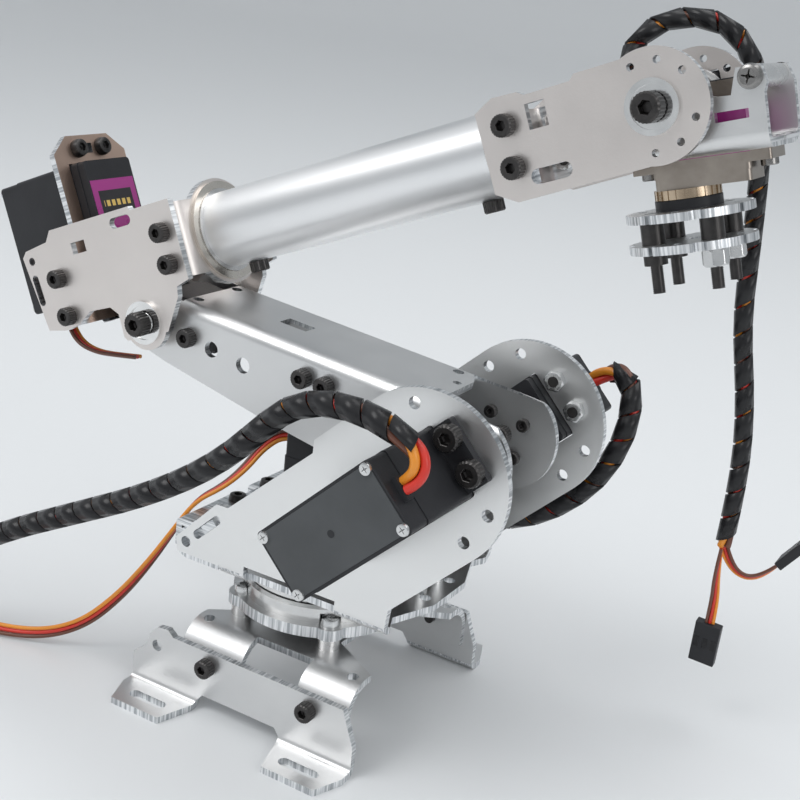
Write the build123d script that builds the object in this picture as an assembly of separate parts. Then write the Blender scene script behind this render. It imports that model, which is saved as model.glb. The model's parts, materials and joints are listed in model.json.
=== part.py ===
from build123d import *
import os
from collections import namedtuple
from math import cos, radians, sin, tan

# A six-axis desktop arm of laser-cut, bent sheet. Millimetres, +Z up, +X along the reach.
# The origin is the middle of the four foot slots, on the table.

# Sheet, fits and fasteners
SHEET = 2.0
BEND = 1.6                  # inside radius of a bend
FIT = 0.1                   # clearance round a held piece
RUN = 0.05                  # radial running clearance
M3_SHANK = 1.5
M3_CORE = 1.3               # thread core, inside a stack of discs and nuts
M3_HEAD_R = 2.75
M3_HEAD_H = 3.0
M4_SHANK = 1.95
M4_HEAD_R = 3.5
M4_HEAD_H = 4.0
NUT_R = 3.1
NUT_H = 2.4
BEARING_R = 5.5
BEARING_W = 4.0
BEARING_FLANGE_R = 6.25
BEARING_FLANGE_T = 1.0
BEARING_BORE_R = 2.0

# Servos: z = 0 is the face of the ears that lies on a bracket, the shaft points up z
Servo = namedtuple("Servo", "near far half below above ear_t ear_near ear_far ear_half "
                            "hole_near hole_far hole_y hole_r boss_r boss_h shaft_r shaft_h")
BIG = Servo(near=10.2, far=30.2, half=10.0, below=29.2, above=7.4, ear_t=2.5, ear_near=17.2,
            ear_far=37.2, ear_half=9.0, hole_near=14.75, hole_far=34.75, hole_y=5.0, hole_r=2.2,
            boss_r=6.5, boss_h=1.5, shaft_r=2.95, shaft_h=6.3)
SMALL = Servo(near=6.0, far=16.8, half=6.1, below=18.4, above=4.1, ear_t=2.5, ear_near=10.75,
              ear_far=21.55, ear_half=6.1, hole_near=8.6, hole_far=19.4, hole_y=0.0, hole_r=1.2,
              boss_r=5.6, boss_h=4.0, shaft_r=2.0, shaft_h=7.0)
MICRO_BOSS_R = 3.0

# Joint axes
TURN_X = 1.4
SHOULDER_X = 47.2
SHOULDER_Z = 88.25
ARM_LENGTH = 100.66
ARM_RISE = 8.9              # degrees above level, towards the elbow
FORE_RISE = 22.86
WRIST_REACH = 157.7         # along the forearm from the elbow
TUBE_LIFT = 20.0            # tube axis above the elbow axis
WRIST_RISE = 16.8

# Foot brackets and base plate
FOOT_FACE_Y = 36.2
FOOT_TIP_Y = 49.04
FOOT_END_X = 38.2
FOOT_GAP_X = 15.0
FOOT_TOP_Z = 19.5
FOOT_ARCH_Z = 5.2
SLOT_Y = 43.45
SLOT_X = 26.2
SLOT_LENGTH = 9.1
SLOT_R = 1.7
BASE_X = 5.95
BASE_HALF_X = 28.2
BASE_WAIST_X = 12.3
BASE_TOP_Z = 24.0
BASE_BEND = 7.0
BASE_FLANGE_Z = 8.5
BASE_SCREW_X = 17.15
BASE_SCREW_Z = 15.0
DISC_TOP_Z = 31.04
DISC_T = 3.3
DISC_R = 25.6
LUG_X = 15.1
LUG_Y = 17.7
LUG_R = 4.2
RACE_OUT_R = 23.0
RACE_IN_R = 17.5
RACE_GAP = 0.15
WAIST_HORN_R = 10.3

# Turret
CHEEK_IN_Y = 29.15
DISC_CHEEK_R = 23.3
SERVO_TILT = 44.2           # long axis of the shoulder servos
FLOOR_DROP = 45.0           # turret floor's top face below the shoulder axis
CROSS_X = -30.5
CROSS_SCREW_X = -25.2
CROSS_SHELF_X = -19.5
CROSS_DROP = 35.25          # cross plate's top below the shoulder axis

# Upper arm channel, drawn with the shoulder at 0 and the elbow at -ARM_LENGTH
ARM_IN_Y = 13.5
ARM_DISC_R = 15.8
ARM_ELBOW_R = 10.2
WEB_AT_S = 13.7
WEB_SLOPE = 0.058
HORN_R = 10.3
HORN_T = 3.0
HORN_HUB_R = 4.6
ELBOW_COVER_GAP = 1.5       # servo cover to the channel's front side

# Elbow box, drawn from the elbow axis with x along the tube
ELBOW_IN_Y = 18.8
ELBOW_TOP_Z = 32.5
END_PLATE_X = 18.0
ROLL_SEAT_X = -24.8
ROLL_PLATE_HALF = 15.0
ROLL_PLATE_TOP = 58.7
SLEEVE_R = 12.0
BUSH_R = 13.2
END_DISC_R = 15.2
HUB_LOBE_R = 14.0

# Forearm tube and fork
TUBE_R = 10.8
TUBE_WALL = 1.5
TUBE_START_X = 21.4
TUBE_END_GAP = 2.5          # end plug flange between tube and fork
FORK_IN_Y = 15.4
FORK_DISC_R = 12.9
FORK_START_X = -42.6        # from the wrist axis
TUBE_SCREW_IN = 6.8         # tube screws from the tube's far end

# Wrist bracket and tool flange, z down the tool axis is negative
WRIST_OUT_Y = 12.0
WRIST_FLOOR_Z = -10.4
TOOL_DISC_R = 14.86
TOOL_DISC_T = 2.0
TOOL_UPPER_Z = -23.7
TOOL_LOWER_Z = -30.9
TOOL_BOLT = 7.07            # half the bolts' spacing
TOOL_BOLT_END_Z = -42.2
TOOL_COLLAR_H = 2.7
TOOL_NUT_H = 2.1
TOOL_HORN_R = 7.8
GEAR_RING_T = 2.2

# Leads
WRAP_R = 3.2
LEAD_R = 1.9
BUNDLE_R = 2.6
TAIL_R = 1.3
PLUG = (7.6, 14.0, 2.6)

shoulder = Vector(SHOULDER_X, 0, SHOULDER_Z)
arm_turn = radians(ARM_RISE)
fore_turn = radians(FORE_RISE)
elbow = shoulder + ARM_LENGTH * Vector(-cos(arm_turn), 0, sin(arm_turn))
wrist = (elbow + WRIST_REACH * Vector(cos(fore_turn), 0, sin(fore_turn))
         + TUBE_LIFT * Vector(-sin(fore_turn), 0, cos(fore_turn)))
at_shoulder = Pos(*shoulder)
at_arm = Pos(*shoulder) * Rot(0, ARM_RISE, 0)
at_fore = Pos(*elbow) * Rot(0, -FORE_RISE, 0)
at_fork = Pos(*wrist) * Rot(0, -FORE_RISE, 0)
at_wrist = Pos(*wrist) * Rot(0, -WRIST_RISE, 0)

CHEEK_OUT_Y = CHEEK_IN_Y + SHEET
ARM_OUT_Y = ARM_IN_Y + SHEET
ELBOW_OUT_Y = ELBOW_IN_Y + SHEET
FORK_OUT_Y = FORK_IN_Y + SHEET
TUBE_END_X = WRIST_REACH + FORK_START_X - TUBE_END_GAP
TUBE_SCREWS_X = (TUBE_START_X + 7.5, TUBE_END_X - TUBE_SCREW_IN)
WRIST_IN_Y = WRIST_OUT_Y - SHEET
BASE_FACE_Y = FOOT_FACE_Y - SHEET
FLOOR_TOP_Z = SHOULDER_Z - FLOOR_DROP
CROSS_TOP_Z = SHOULDER_Z - CROSS_DROP
FLOOR_Z = FLOOR_TOP_Z - SHEET
SHOULDER_CASE_Y = CHEEK_OUT_Y - BIG.above
SHOULDER_SHAFT_Y = SHOULDER_CASE_Y - BIG.shaft_h


def face(*points):
    return make_face(Polyline(*points, close=True))


def along_y(sketch, y0, y1):
    """A drawing in x and z, as a plate between two y values."""
    return extrude(Plane.XZ.offset(-y1) * sketch, amount=y1 - y0)


def along_z(sketch, z0, z1):
    return extrude(Plane.XY.offset(z0) * sketch, amount=z1 - z0)


def along_x(sketch, x0, x1):
    """A drawing in y and z, as a prism between two x values."""
    return extrude(Plane.YZ.offset(x0) * sketch, amount=x1 - x0)


def block(x0, x1, y0, y1, z0, z1):
    return Pos((x0 + x1) / 2, (y0 + y1) / 2, (z0 + z1) / 2) * Box(x1 - x0, y1 - y0, z1 - z0)


def rod(start, end, radius):
    axis = Vector(*end) - Vector(*start)
    return extrude(Plane(origin=start, z_dir=axis) * Circle(radius), amount=axis.length)


def ring(start, end, outer, inner):
    return rod(start, end, outer) - rod(start, end, inner)


def mirrored(shape):
    return mirror(shape, about=Plane.XZ)


def screw(seat, way, head_r, head_h, shank_r, length):
    """A cap screw whose head stands on seat and whose shank runs along way."""
    seat = Vector(*seat)
    way = Vector(*way).normalized()
    return rod(seat - way * head_h, seat, head_r) + rod(seat, seat + way * length, shank_r)


def m3(seat, way, length):
    return screw(seat, way, M3_HEAD_R, M3_HEAD_H, M3_SHANK, length)


def nut(seat, way, bore):
    """A hexagon nut standing on seat, away from it along way."""
    plane = Plane(origin=seat, z_dir=way)
    return extrude(plane * (RegularPolygon(NUT_R, 6) - Circle(bore + RUN)), amount=NUT_H)


def channel(half, low, high, bend, lip_up):
    """A bent U of sheet in the y-z plane; the legs stand up if lip_up, else they hang."""
    outer = Pos(0, (low + high) / 2) * Rectangle(2 * half, high - low)
    shift = SHEET if lip_up else -SHEET
    inner = Pos(0, (low + high) / 2 + shift) * Rectangle(2 * (half - SHEET), high - low)
    pick = slice(0, 2) if lip_up else slice(-2, None)
    outer = fillet(outer.vertices().sort_by(Axis.Y)[pick], bend + SHEET)
    inner = fillet(inner.vertices().sort_by(Axis.Y)[pick], bend)
    return outer - inner


def servo(s, boss_r, gland=True):
    """Three case shells with a seam between them, ears, output boss and splined shaft."""
    seam = 0.2
    length = s.near + s.far
    middle = (s.near - s.far) / 2

    def shell(inset, z0, z1):
        plan = RectangleRounded(length - 2 * inset, 2 * (s.half - inset), 1.2)
        return along_z(Pos(middle, 0) * plan, z0, z1)

    solid = shell(seam, -s.below, -s.below + 0.25 * s.below)
    solid += shell(0, -s.below + 0.25 * s.below, s.above - 2.6)
    solid += shell(seam, s.above - 2.6, s.above)
    ears = Pos((s.ear_near - s.ear_far) / 2, 0) * RectangleRounded(
        s.ear_near + s.ear_far, 2 * s.ear_half, 0.8)
    for x in (s.hole_near, -s.hole_far):
        for y in sorted({-s.hole_y, s.hole_y}):
            ears -= Pos(x, y) * Circle(s.hole_r)
    solid += along_z(ears, -s.ear_t, 0)
    solid += along_z(Circle(boss_r), s.above, s.above + s.boss_h)
    solid += along_z(Circle(s.shaft_r), s.above, s.above + s.shaft_h)
    if gland:
        solid += block(s.near - 1, s.near + 1.4, -3, 3, -s.below + 3, -s.below + 6.4)
    return solid


def cord(points, radius):
    """A round lead: straight runs joined by the largest tangent arcs that fit."""
    points = [Vector(*p) for p in points]
    radii = []
    for before, here, after in zip(points, points[1:], points[2:]):
        turn = (here - before).get_angle(after - here)
        run = min((here - before).length, (after - here).length)
        radii.append(0.45 * run / tan(radians(turn / 2)))
    path = FilletPolyline(*points, radius=radii)
    tube = sweep(Plane(path @ 0, z_dir=path % 0) * Circle(radius), path=path)
    share = tube.volume / (path.length * 3.14159265 * radius ** 2)
    print("lead", round(path.length, 1), "volume share", round(share, 4),
          "radii", [round(r, 1) for r in radii])
    return tube


def plug(seat, way, side):
    """A three-pin plug with its contact slots, square on the lead's end."""
    width, length, thick = PLUG
    plane = Plane(origin=seat, x_dir=side, z_dir=way)
    body = extrude(plane * RectangleRounded(width, thick, 0.3), amount=length)
    for k in (-1, 0, 1):
        slot = plane * (Pos(2.54 * k, thick / 2) * Rectangle(1.0, 0.8))
        body -= extrude(slot, amount=length * 0.7)
    return body


# Base: bent foot brackets, bent top plate, standoffs and the slotted disc
def foot_bracket():
    feet = Pos(-(FOOT_FACE_Y - SHEET + FOOT_TIP_Y) / 2, FOOT_TOP_Z / 2) * Rectangle(
        FOOT_TIP_Y - FOOT_FACE_Y + SHEET, FOOT_TOP_Z + 2 * SHEET)
    profile = face((-FOOT_TIP_Y, 0), (-FOOT_FACE_Y + SHEET, 0), (-FOOT_FACE_Y + SHEET, 22),
                   (-FOOT_FACE_Y, 22), (-FOOT_FACE_Y, SHEET), (-FOOT_TIP_Y, SHEET))
    heel = profile.vertices().sort_by_distance((-FOOT_FACE_Y + SHEET, 0))[0]
    profile = fillet(heel, BEND + SHEET)
    instep = profile.vertices().sort_by_distance((-FOOT_FACE_Y, SHEET))[0]
    profile = fillet(instep, BEND)
    sheet = along_x(profile, -FOOT_END_X - 2, FOOT_END_X + 2)
    front = face((-FOOT_END_X, -1), (-FOOT_END_X, 10.1), (-33.7, 13.5), (-32.4, 17.9), (-29.5, 20.9),
                 (-25.9, 21.3), (-23.8, FOOT_TOP_Z), (34.1, FOOT_TOP_Z), (FOOT_END_X - 0.2, 9.2),
                 (FOOT_END_X, -1), (FOOT_GAP_X, -1), (FOOT_GAP_X - 0.6, 2.9),
                 (12.7, FOOT_ARCH_Z), (-12.5, FOOT_ARCH_Z), (-FOOT_GAP_X + 0.6, 2.9), (-FOOT_GAP_X, -1))
    front -= Pos(-29.6, 14.9) * Circle(1.7)
    for side in (-1, 1):
        front -= Pos(BASE_X + side * BASE_SCREW_X, BASE_SCREW_Z) * Circle(M3_SHANK + FIT)
    sheet &= along_y(front, -FOOT_TIP_Y - 1, 0)
    toe = FOOT_TIP_Y + 1
    heel_y = FOOT_FACE_Y + 1.5
    plan = face((-FOOT_END_X - 1, -heel_y), (-FOOT_END_X - 1, 0), (FOOT_END_X + 1, 0),
                (FOOT_END_X + 1, -heel_y), (34.4, -toe), (18.3, -toe), (FOOT_GAP_X - 0.4, -heel_y),
                (-FOOT_GAP_X + 0.4, -heel_y), (-18.3, -toe), (-34.4, -toe))
    for side in (-1, 1):
        plan -= Pos(side * SLOT_X, -SLOT_Y) * SlotOverall(SLOT_LENGTH + 2 * SLOT_R, 2 * SLOT_R)
    return sheet & along_z(plan, -1, 30)


def base_plate():
    sheet = along_x(channel(BASE_FACE_Y, BASE_FLANGE_Z, BASE_TOP_Z, BASE_BEND, False),
                    BASE_X - BASE_HALF_X, BASE_X + BASE_HALF_X)
    edge = BASE_FACE_Y + 1
    plan = face((-BASE_HALF_X, -edge), (-BASE_HALF_X, -23), (-BASE_WAIST_X - 4, -13.7),
                (-BASE_WAIST_X - 4, 13.7), (-BASE_HALF_X, 23), (-BASE_HALF_X, edge),
                (BASE_HALF_X, edge), (BASE_HALF_X, 23), (BASE_WAIST_X, 13.7),
                (BASE_WAIST_X, -13.7), (BASE_HALF_X, -23), (BASE_HALF_X, -edge))
    for x in (-1, 1):
        for y in (-1, 1):
            plan -= Pos(x * (BASE_HALF_X - 3.6), y * 26.6) * Circle(1.6)
    sheet &= along_z(Pos(BASE_X, 0) * plan, 0, 40)
    for x in (-LUG_X, LUG_X):
        for y in (-LUG_Y, LUG_Y):
            sheet -= rod((TURN_X + x, y, 20), (TURN_X + x, y, 30), M3_SHANK + FIT)
    for side in (-1, 1):
        x = BASE_X + side * BASE_SCREW_X
        sheet -= rod((x, -edge, BASE_SCREW_Z), (x, edge, BASE_SCREW_Z), M3_SHANK + FIT)
    for side in (-1, 1):
        y = side * (BASE_FACE_Y - 3.5)
        sheet -= block(BASE_X - 7.5, BASE_X + 11.5, y - 4.5, y + 4.5, BASE_TOP_Z - 8, BASE_TOP_Z + 1)
    return sheet


def lug_points():
    return [(TURN_X + x, y) for x in (-LUG_X, LUG_X) for y in (-LUG_Y, LUG_Y)]


def turn_disc():
    plan = Circle(DISC_R)
    for x, y in lug_points():
        plan += Pos(x - TURN_X, y) * Circle(LUG_R)
    for x, y in lug_points():
        plan -= Pos(x - TURN_X, y) * Circle(M3_SHANK + FIT)
    for k in range(4):
        plan -= Rot(0, 0, 90 * k) * (Pos(14.2, 0) * SlotOverall(9, 2.6, 90))
    plan -= Circle(4.8)
    return along_z(Pos(TURN_X, 0) * plan, DISC_TOP_Z - DISC_T, DISC_TOP_Z)


def standoffs():
    low = BASE_TOP_Z
    high = DISC_TOP_Z - DISC_T
    return [ring((x, y, low), (x, y, high), 3.2, M3_SHANK + FIT) for x, y in lug_points()]


def lug_screws():
    length = DISC_TOP_Z - BASE_TOP_Z + SHEET + NUT_H
    low = BASE_TOP_Z - SHEET
    pieces = []
    for x, y in lug_points():
        piece = screw((x, y, DISC_TOP_Z), (0, 0, -1), M3_HEAD_R, 2.0, M3_SHANK, length)
        pieces += [piece, nut((x, y, low), (0, 0, -1), M3_SHANK)]
    return pieces


def foot_screws():
    pieces = []
    for side in (-1, 1):
        x = BASE_X + side * BASE_SCREW_X
        for y in (-1, 1):
            pieces.append(m3((x, y * FOOT_FACE_Y, BASE_SCREW_Z), (0, -y, 0), 2 * SHEET + 1.5))
    return pieces


def race_split():
    return (DISC_TOP_Z + FLOOR_Z) / 2


def lower_race():
    top = race_split() - RACE_GAP / 2
    race = ring((TURN_X, 0, DISC_TOP_Z), (TURN_X, 0, top), RACE_OUT_R, RACE_IN_R)
    outer = race.edges().filter_by(GeomType.CIRCLE).group_by(Axis.Z)[-1].sort_by(SortBy.RADIUS)[-1]
    race = chamfer(outer, 0.8)
    for x, y in lug_points():
        race -= rod((x, y, DISC_TOP_Z), (x, y, DISC_TOP_Z + 3), M3_HEAD_R + 0.3)
    return race


def upper_race():
    low = race_split() + RACE_GAP / 2
    race = ring((TURN_X, 0, low), (TURN_X, 0, FLOOR_Z), RACE_OUT_R - 0.4, RACE_IN_R)
    outer = race.edges().filter_by(GeomType.CIRCLE).group_by(Axis.Z)[0].sort_by(SortBy.RADIUS)[-1]
    return chamfer(outer, 0.8)


def waist_horn():
    shaft_z = FLOOR_TOP_Z - BIG.shaft_h
    boss_z = FLOOR_TOP_Z - BIG.boss_h
    horn = rod((TURN_X, 0, DISC_TOP_Z), (TURN_X, 0, DISC_TOP_Z + HORN_T), WAIST_HORN_R)
    horn += rod((TURN_X, 0, DISC_TOP_Z), (TURN_X, 0, boss_z - 0.4), HORN_HUB_R)
    return horn - rod((TURN_X, 0, shaft_z - 0.4), (TURN_X, 0, boss_z), BIG.shaft_r + RUN)


# Turret: one bent U carries the waist servo and two opposed shoulder servos
def cheek():
    t = radians(SERVO_TILT)
    r = DISC_CHEEK_R
    plate = face((-76, -40.1), (-75.3, -44.2), (-72.2, -45.5), (-60.6, -45.5), (-60.6, -50),
                 (-6.5, -50), (-6.5, -45.5), (-5.8, -38.7), (r * sin(t), -r * cos(t)), (0, 0),
                 (-r * sin(t), r * cos(t)), (-32.7, 1.2), (-32.8, -2.5), (-58.6, -26.1), (-62.5, -26.1))
    plate += Circle(r)
    case = RectangleRounded(BIG.near + BIG.far + 4 * FIT, 2 * BIG.half + 4 * FIT, 1.0)
    plate -= Rot(0, 0, SERVO_TILT) * (Pos((BIG.near - BIG.far) / 2, 0) * case)
    for x in (BIG.hole_near, -BIG.hole_far):
        for y in (-BIG.hole_y, BIG.hole_y):
            plate -= Rot(0, 0, SERVO_TILT) * (Pos(x, y) * Circle(M3_SHANK + 3 * FIT))
    for x, z in ((-4.8, 18.7), (-14.1, 12.8), (18.4, -4.2), (13.0, -13.1)):
        plate -= Pos(x, z) * Circle(1.65)
    plate -= Pos(-65.35, -34.05) * Rot(0, 0, 44.2) * SlotOverall(11.6, 2.6)
    return plate - Pos(-72.4, -40.6) * Circle(1.6)


def turret_bracket():
    low = -FLOOR_DROP - SHEET
    bent = channel(CHEEK_OUT_Y, low, 0, BEND, True) - Pos(0, low + BEND + SHEET + 30) * Rectangle(90, 60)
    zone = CHEEK_IN_Y - BEND
    plate = cheek() - Pos(-33.55, low + BEND + SHEET - 5) * Rectangle(54.1, 10)
    sides = along_y(plate, -CHEEK_OUT_Y, -CHEEK_IN_Y) + along_y(plate, CHEEK_IN_Y, CHEEK_OUT_Y)
    bends = along_x(bent, -60.6, -52) + along_x(bent, -22, -6.5)
    bends -= block(-80, 30, -zone, zone, low - 1, 0)
    plan = face((-60.6, -zone), (-60.6, -14), (-65.5, -11), (-65.5, 11), (-60.6, 14), (-60.6, zone),
                (-6.5, zone), (-8.6, 22.9), (-3.5, 9), (-3.5, -9), (-8.6, -22.9), (-6.5, -zone))
    for y in (-7, 7):
        plan -= Pos(-7.5, y) * Circle(1.6)
    waist = TURN_X - SHOULDER_X
    plan -= Pos(waist, 0) * Circle(BIG.boss_r + 0.5)
    for x in (-BIG.hole_near, BIG.hole_far):
        for y in (-BIG.hole_y, BIG.hole_y):
            plan -= Pos(waist + x, y) * Circle(M3_SHANK + FIT)
    floor = along_z(plan, low, -FLOOR_DROP)
    bracket = sides + bends + floor
    for side in (-1, 1):
        y0, y1 = sorted((side * (CHEEK_IN_Y - BEND), side * (CHEEK_OUT_Y + 1)))
        bracket -= block(-52, -22, y0, y1, low - 1, -41.6)
    return at_shoulder * bracket


def shoulder_servo(side):
    t = radians(SERVO_TILT)
    plane = Plane(origin=(SHOULDER_X, side * CHEEK_OUT_Y, SHOULDER_Z),
                  x_dir=(cos(t), 0, sin(t)), z_dir=(0, -side, 0))
    return plane.location * servo(BIG, BIG.boss_r)


def shoulder_servo_screws():
    pieces = []
    seat = CHEEK_OUT_Y + BIG.ear_t
    length = BIG.ear_t + SHEET + NUT_H
    for x in (BIG.hole_near, -BIG.hole_far):
        for z in (-BIG.hole_y, BIG.hole_y):
            spot = (Rot(0, -SERVO_TILT, 0) * Pos(x, 0, z)).position
            for side in (-1, 1):
                at = (spot.X, side * seat, spot.Z)
                inner = (spot.X, side * CHEEK_IN_Y, spot.Z)
                pieces.append(screw(at, (0, -side, 0), M4_HEAD_R, M3_HEAD_H, M3_SHANK, length))
                pieces.append(nut(inner, (0, -side, 0), M3_SHANK))
    return [at_shoulder * piece for piece in pieces]


def waist_servo():
    plane = Plane(origin=(TURN_X, 0, FLOOR_TOP_Z + BIG.above), x_dir=(-1, 0, 0), z_dir=(0, 0, -1))
    return plane.location * servo(BIG, BIG.boss_r)


def waist_spots():
    return [(TURN_X + x, y) for x in (-BIG.hole_near, BIG.hole_far) for y in (-BIG.hole_y, BIG.hole_y)]


def waist_spacers():
    high = FLOOR_TOP_Z + BIG.above
    return [ring((x, y, FLOOR_TOP_Z), (x, y, high), 2.6, M3_SHANK + FIT) for x, y in waist_spots()]


def waist_screws():
    seat = FLOOR_TOP_Z + BIG.above + BIG.ear_t
    length = BIG.ear_t + BIG.above + SHEET
    return [screw((x, y, seat), (0, 0, -1), M3_HEAD_R, 2.0, M3_SHANK, length) for x, y in waist_spots()]


def cross_plate():
    """Bent shelf behind the waist servo; its end flanges lie on the cheeks and hook their slots."""
    width = CHEEK_IN_Y
    foot, ledge, tip = CROSS_TOP_Z - 8.5, CROSS_TOP_Z - 4.6, CROSS_TOP_Z + 6.0
    profile = face((CROSS_X, foot), (CROSS_X + SHEET, foot), (CROSS_X + SHEET, CROSS_TOP_Z - SHEET),
                   (CROSS_SHELF_X, CROSS_TOP_Z - SHEET), (CROSS_SHELF_X, CROSS_TOP_Z),
                   (CROSS_X, CROSS_TOP_Z))
    knee = profile.vertices().sort_by_distance((CROSS_X, CROSS_TOP_Z))[0]
    profile = fillet(knee, BEND)
    plate = along_y(profile, -width, width)
    plate -= block(CROSS_X - 1, CROSS_X + SHEET + 2, -4.5, 4.5, CROSS_TOP_Z - 4.5, CROSS_TOP_Z + 1)
    for y in (-24.5, 24.5):
        plate -= rod((CROSS_X - 1, y, ledge + 0.4), (CROSS_X + 3, y, ledge + 0.4), 1.6)
    for y in (-7.7, 7.7):
        plate -= rod((CROSS_SCREW_X, y, CROSS_TOP_Z - 5), (CROSS_SCREW_X, y, CROSS_TOP_Z + 1), M3_SHANK + FIT)
    flange = face((CROSS_X, foot), (CROSS_X, ledge), (-17.5, tip), (-14.5, tip), (-14.5, foot))
    hook = Pos(-65.35 + SHOULDER_X, -34.05 + SHOULDER_Z) * Rot(0, 0, 44.2) * Rectangle(5.0, 2.3)
    for side in (-1, 1):
        y0, y1 = sorted((side * (width - SHEET), side * width))
        plate += along_y(flange, y0, y1)
        y0, y1 = sorted((side * (width - 0.5), side * (width + 1.2)))
        plate += along_y(hook, y0, y1)
    return plate


def cross_screws():
    pieces = []
    for y in (-7.7, 7.7):
        top = (CROSS_SCREW_X, y, CROSS_TOP_Z)
        pieces.append(screw(top, (0, 0, -1), M3_HEAD_R, 1.8, M3_SHANK, SHEET + NUT_H))
        pieces.append(nut((CROSS_SCREW_X, y, CROSS_TOP_Z - SHEET), (0, 0, -1), M3_SHANK))
    return pieces


# Upper arm: a hanging channel, its web tilted a little against the line of the joints
ARM_SCREWS = ((12.26 - ARM_LENGTH, -0.7), (-48.7, 3.4), (-41.4, 4.0))


def web_height(x):
    return WEB_AT_S + WEB_SLOPE * x


def arm_channel():
    tilt = Pos(0, 0, WEB_AT_S) * Rot(0, -3.32, 0)
    sheet = tilt * along_x(channel(ARM_OUT_Y, -45, 0, BEND, False), -ARM_LENGTH - 20, 25)
    r = ARM_ELBOW_R
    end = -ARM_LENGTH
    side = face((-9, 20), (end + 6, 20), (end + 6, 2), (end - 1, -r), (end + 5.36, -11.1), (end + 41.46, -13.7),
                (-2, -ARM_DISC_R + 0.1), (0, 0))
    side += Circle(ARM_DISC_R)
    side += Pos(end, 0) * Circle(r)
    for x, z in ((end + 20.46, -1.2), (end + 31.86, -1.4)):
        side -= Pos(x, z) * Circle(2.3)
    for x, z in ARM_SCREWS:
        side -= Pos(x, z) * Circle(M3_SHANK + FIT)
    side -= Circle(M3_SHANK + FIT)
    for k in range(4):
        side -= Rot(0, 0, 45 + 90 * k) * (Pos(7.2, 0) * Circle(1.2))
    solid = sheet & along_y(side, -ARM_OUT_Y - 1, ARM_OUT_Y + 1)
    wide = ARM_OUT_Y + 1
    above = face((-13, -wide), (-10, -7.3), (-10, 7.3), (-13, wide), (30, wide), (30, -wide))
    solid -= along_z(above, 13.3, 30)
    inner = ARM_IN_Y
    open_front = face((-13, -inner), (-10, -7.3), (-10, 7.3), (-13, inner), (30, inner), (30, -inner))
    solid -= along_z(open_front, 7, 30)
    solid -= block(end - 30, end + 6.5, -inner, inner, -20, 20)
    for x, y, radius in ((-16.5, 10.5, 1.6), (-16.5, -10.5, 1.6), (-12.6, 2.5, 1.2), (end + 8.36, 9, 1.6),
                         (end + 8.36, -9, 1.6)):
        solid -= rod((x, y, 2), (x, y, 20), radius)
    solid -= block(end + 32.56, end + 41.56, -2.6, 2.6, 2, 20)
    solid -= rod((end, ARM_IN_Y - 1, 0), (end, ARM_OUT_Y + 1, 0), HORN_HUB_R + 0.4)
    solid -= rod((end, -ARM_OUT_Y - 1, 0), (end, -ARM_IN_Y + 1, 0), M4_SHANK + RUN)
    solid -= rod((end + SMALL.hole_far, ARM_IN_Y - 1, 0), (end + SMALL.hole_far, ARM_OUT_Y + 1, 0), 1.1)
    return at_arm * solid


def shoulder_horn(side):
    """Round horn on the servo shaft, bolted flat to the outside of the arm."""
    face_y = ARM_OUT_Y
    tip = SHOULDER_CASE_Y - BIG.boss_h - 0.35
    horn = rod((0, face_y, 0), (0, face_y + HORN_T, 0), HORN_R)
    horn += rod((0, face_y, 0), (0, tip, 0), HORN_HUB_R)
    horn -= rod((0, SHOULDER_SHAFT_Y - 0.2, 0), (0, tip + 1, 0), BIG.shaft_r + RUN)
    horn -= rod((0, face_y - 1, 0), (0, face_y + HORN_T, 0), M3_SHANK + FIT)
    for k in range(4):
        spot = (Rot(0, 45 + 90 * k, 0) * Pos(7.2, 0, 0)).position
        horn -= rod((spot.X, face_y - 1, spot.Z), (spot.X, face_y + 5, spot.Z), 1.2)
    horn = at_arm * horn
    return horn if side > 0 else mirrored(horn)


def shoulder_horn_screws():
    pieces = [m3((0, ARM_IN_Y, 0), (0, 1, 0), SHOULDER_SHAFT_Y - ARM_IN_Y - 0.2)]
    for k in range(4):
        spot = (Rot(0, 45 + 90 * k, 0) * Pos(7.2, 0, 0)).position
        pieces.append(screw((spot.X, ARM_IN_Y, spot.Z), (0, 1, 0), 1.9, 1.6, 1.1, SHEET + HORN_T))
    pieces = [at_arm * piece for piece in pieces]
    return pieces + [mirrored(piece) for piece in pieces]


def arm_screws():
    pieces = []
    for x, z in ARM_SCREWS:
        at_elbow = x == ARM_SCREWS[0][0]
        length = SHEET + 1.0 if at_elbow else SHEET + NUT_H
        pieces.append(m3((x, -ARM_OUT_Y, z), (0, 1, 0), length))
        pieces.append(m3((x, ARM_OUT_Y, z), (0, -1, 0), length))
        if not at_elbow:
            pieces.append(nut((x, -ARM_IN_Y, z), (0, 1, 0), M3_SHANK))
            pieces.append(nut((x, ARM_IN_Y, z), (0, -1, 0), M3_SHANK))
    return [at_arm * piece for piece in pieces]


def elbow_servo():
    """Small servo in the channel's elbow end, its cover against the front side."""
    seat = -ARM_IN_Y + ELBOW_COVER_GAP + SMALL.below
    plane = Plane(origin=(-ARM_LENGTH, seat, 0), x_dir=(-1, 0, 0), z_dir=(0, 1, 0))
    return at_arm * (plane.location * servo(SMALL, MICRO_BOSS_R, gland=False))


def elbow_servo_post():
    seat = -ARM_IN_Y + ELBOW_COVER_GAP + SMALL.below
    x = -ARM_LENGTH + SMALL.hole_far
    post = ring((x, seat, 0), (x, ARM_IN_Y, 0), 2.4, 1.1)
    pin = screw((x, seat - SMALL.ear_t, 0), (0, 1, 0), 2.0, 1.6, 1.05, SMALL.ear_t + ARM_IN_Y - seat)
    return [at_arm * post, at_arm * pin]


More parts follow.
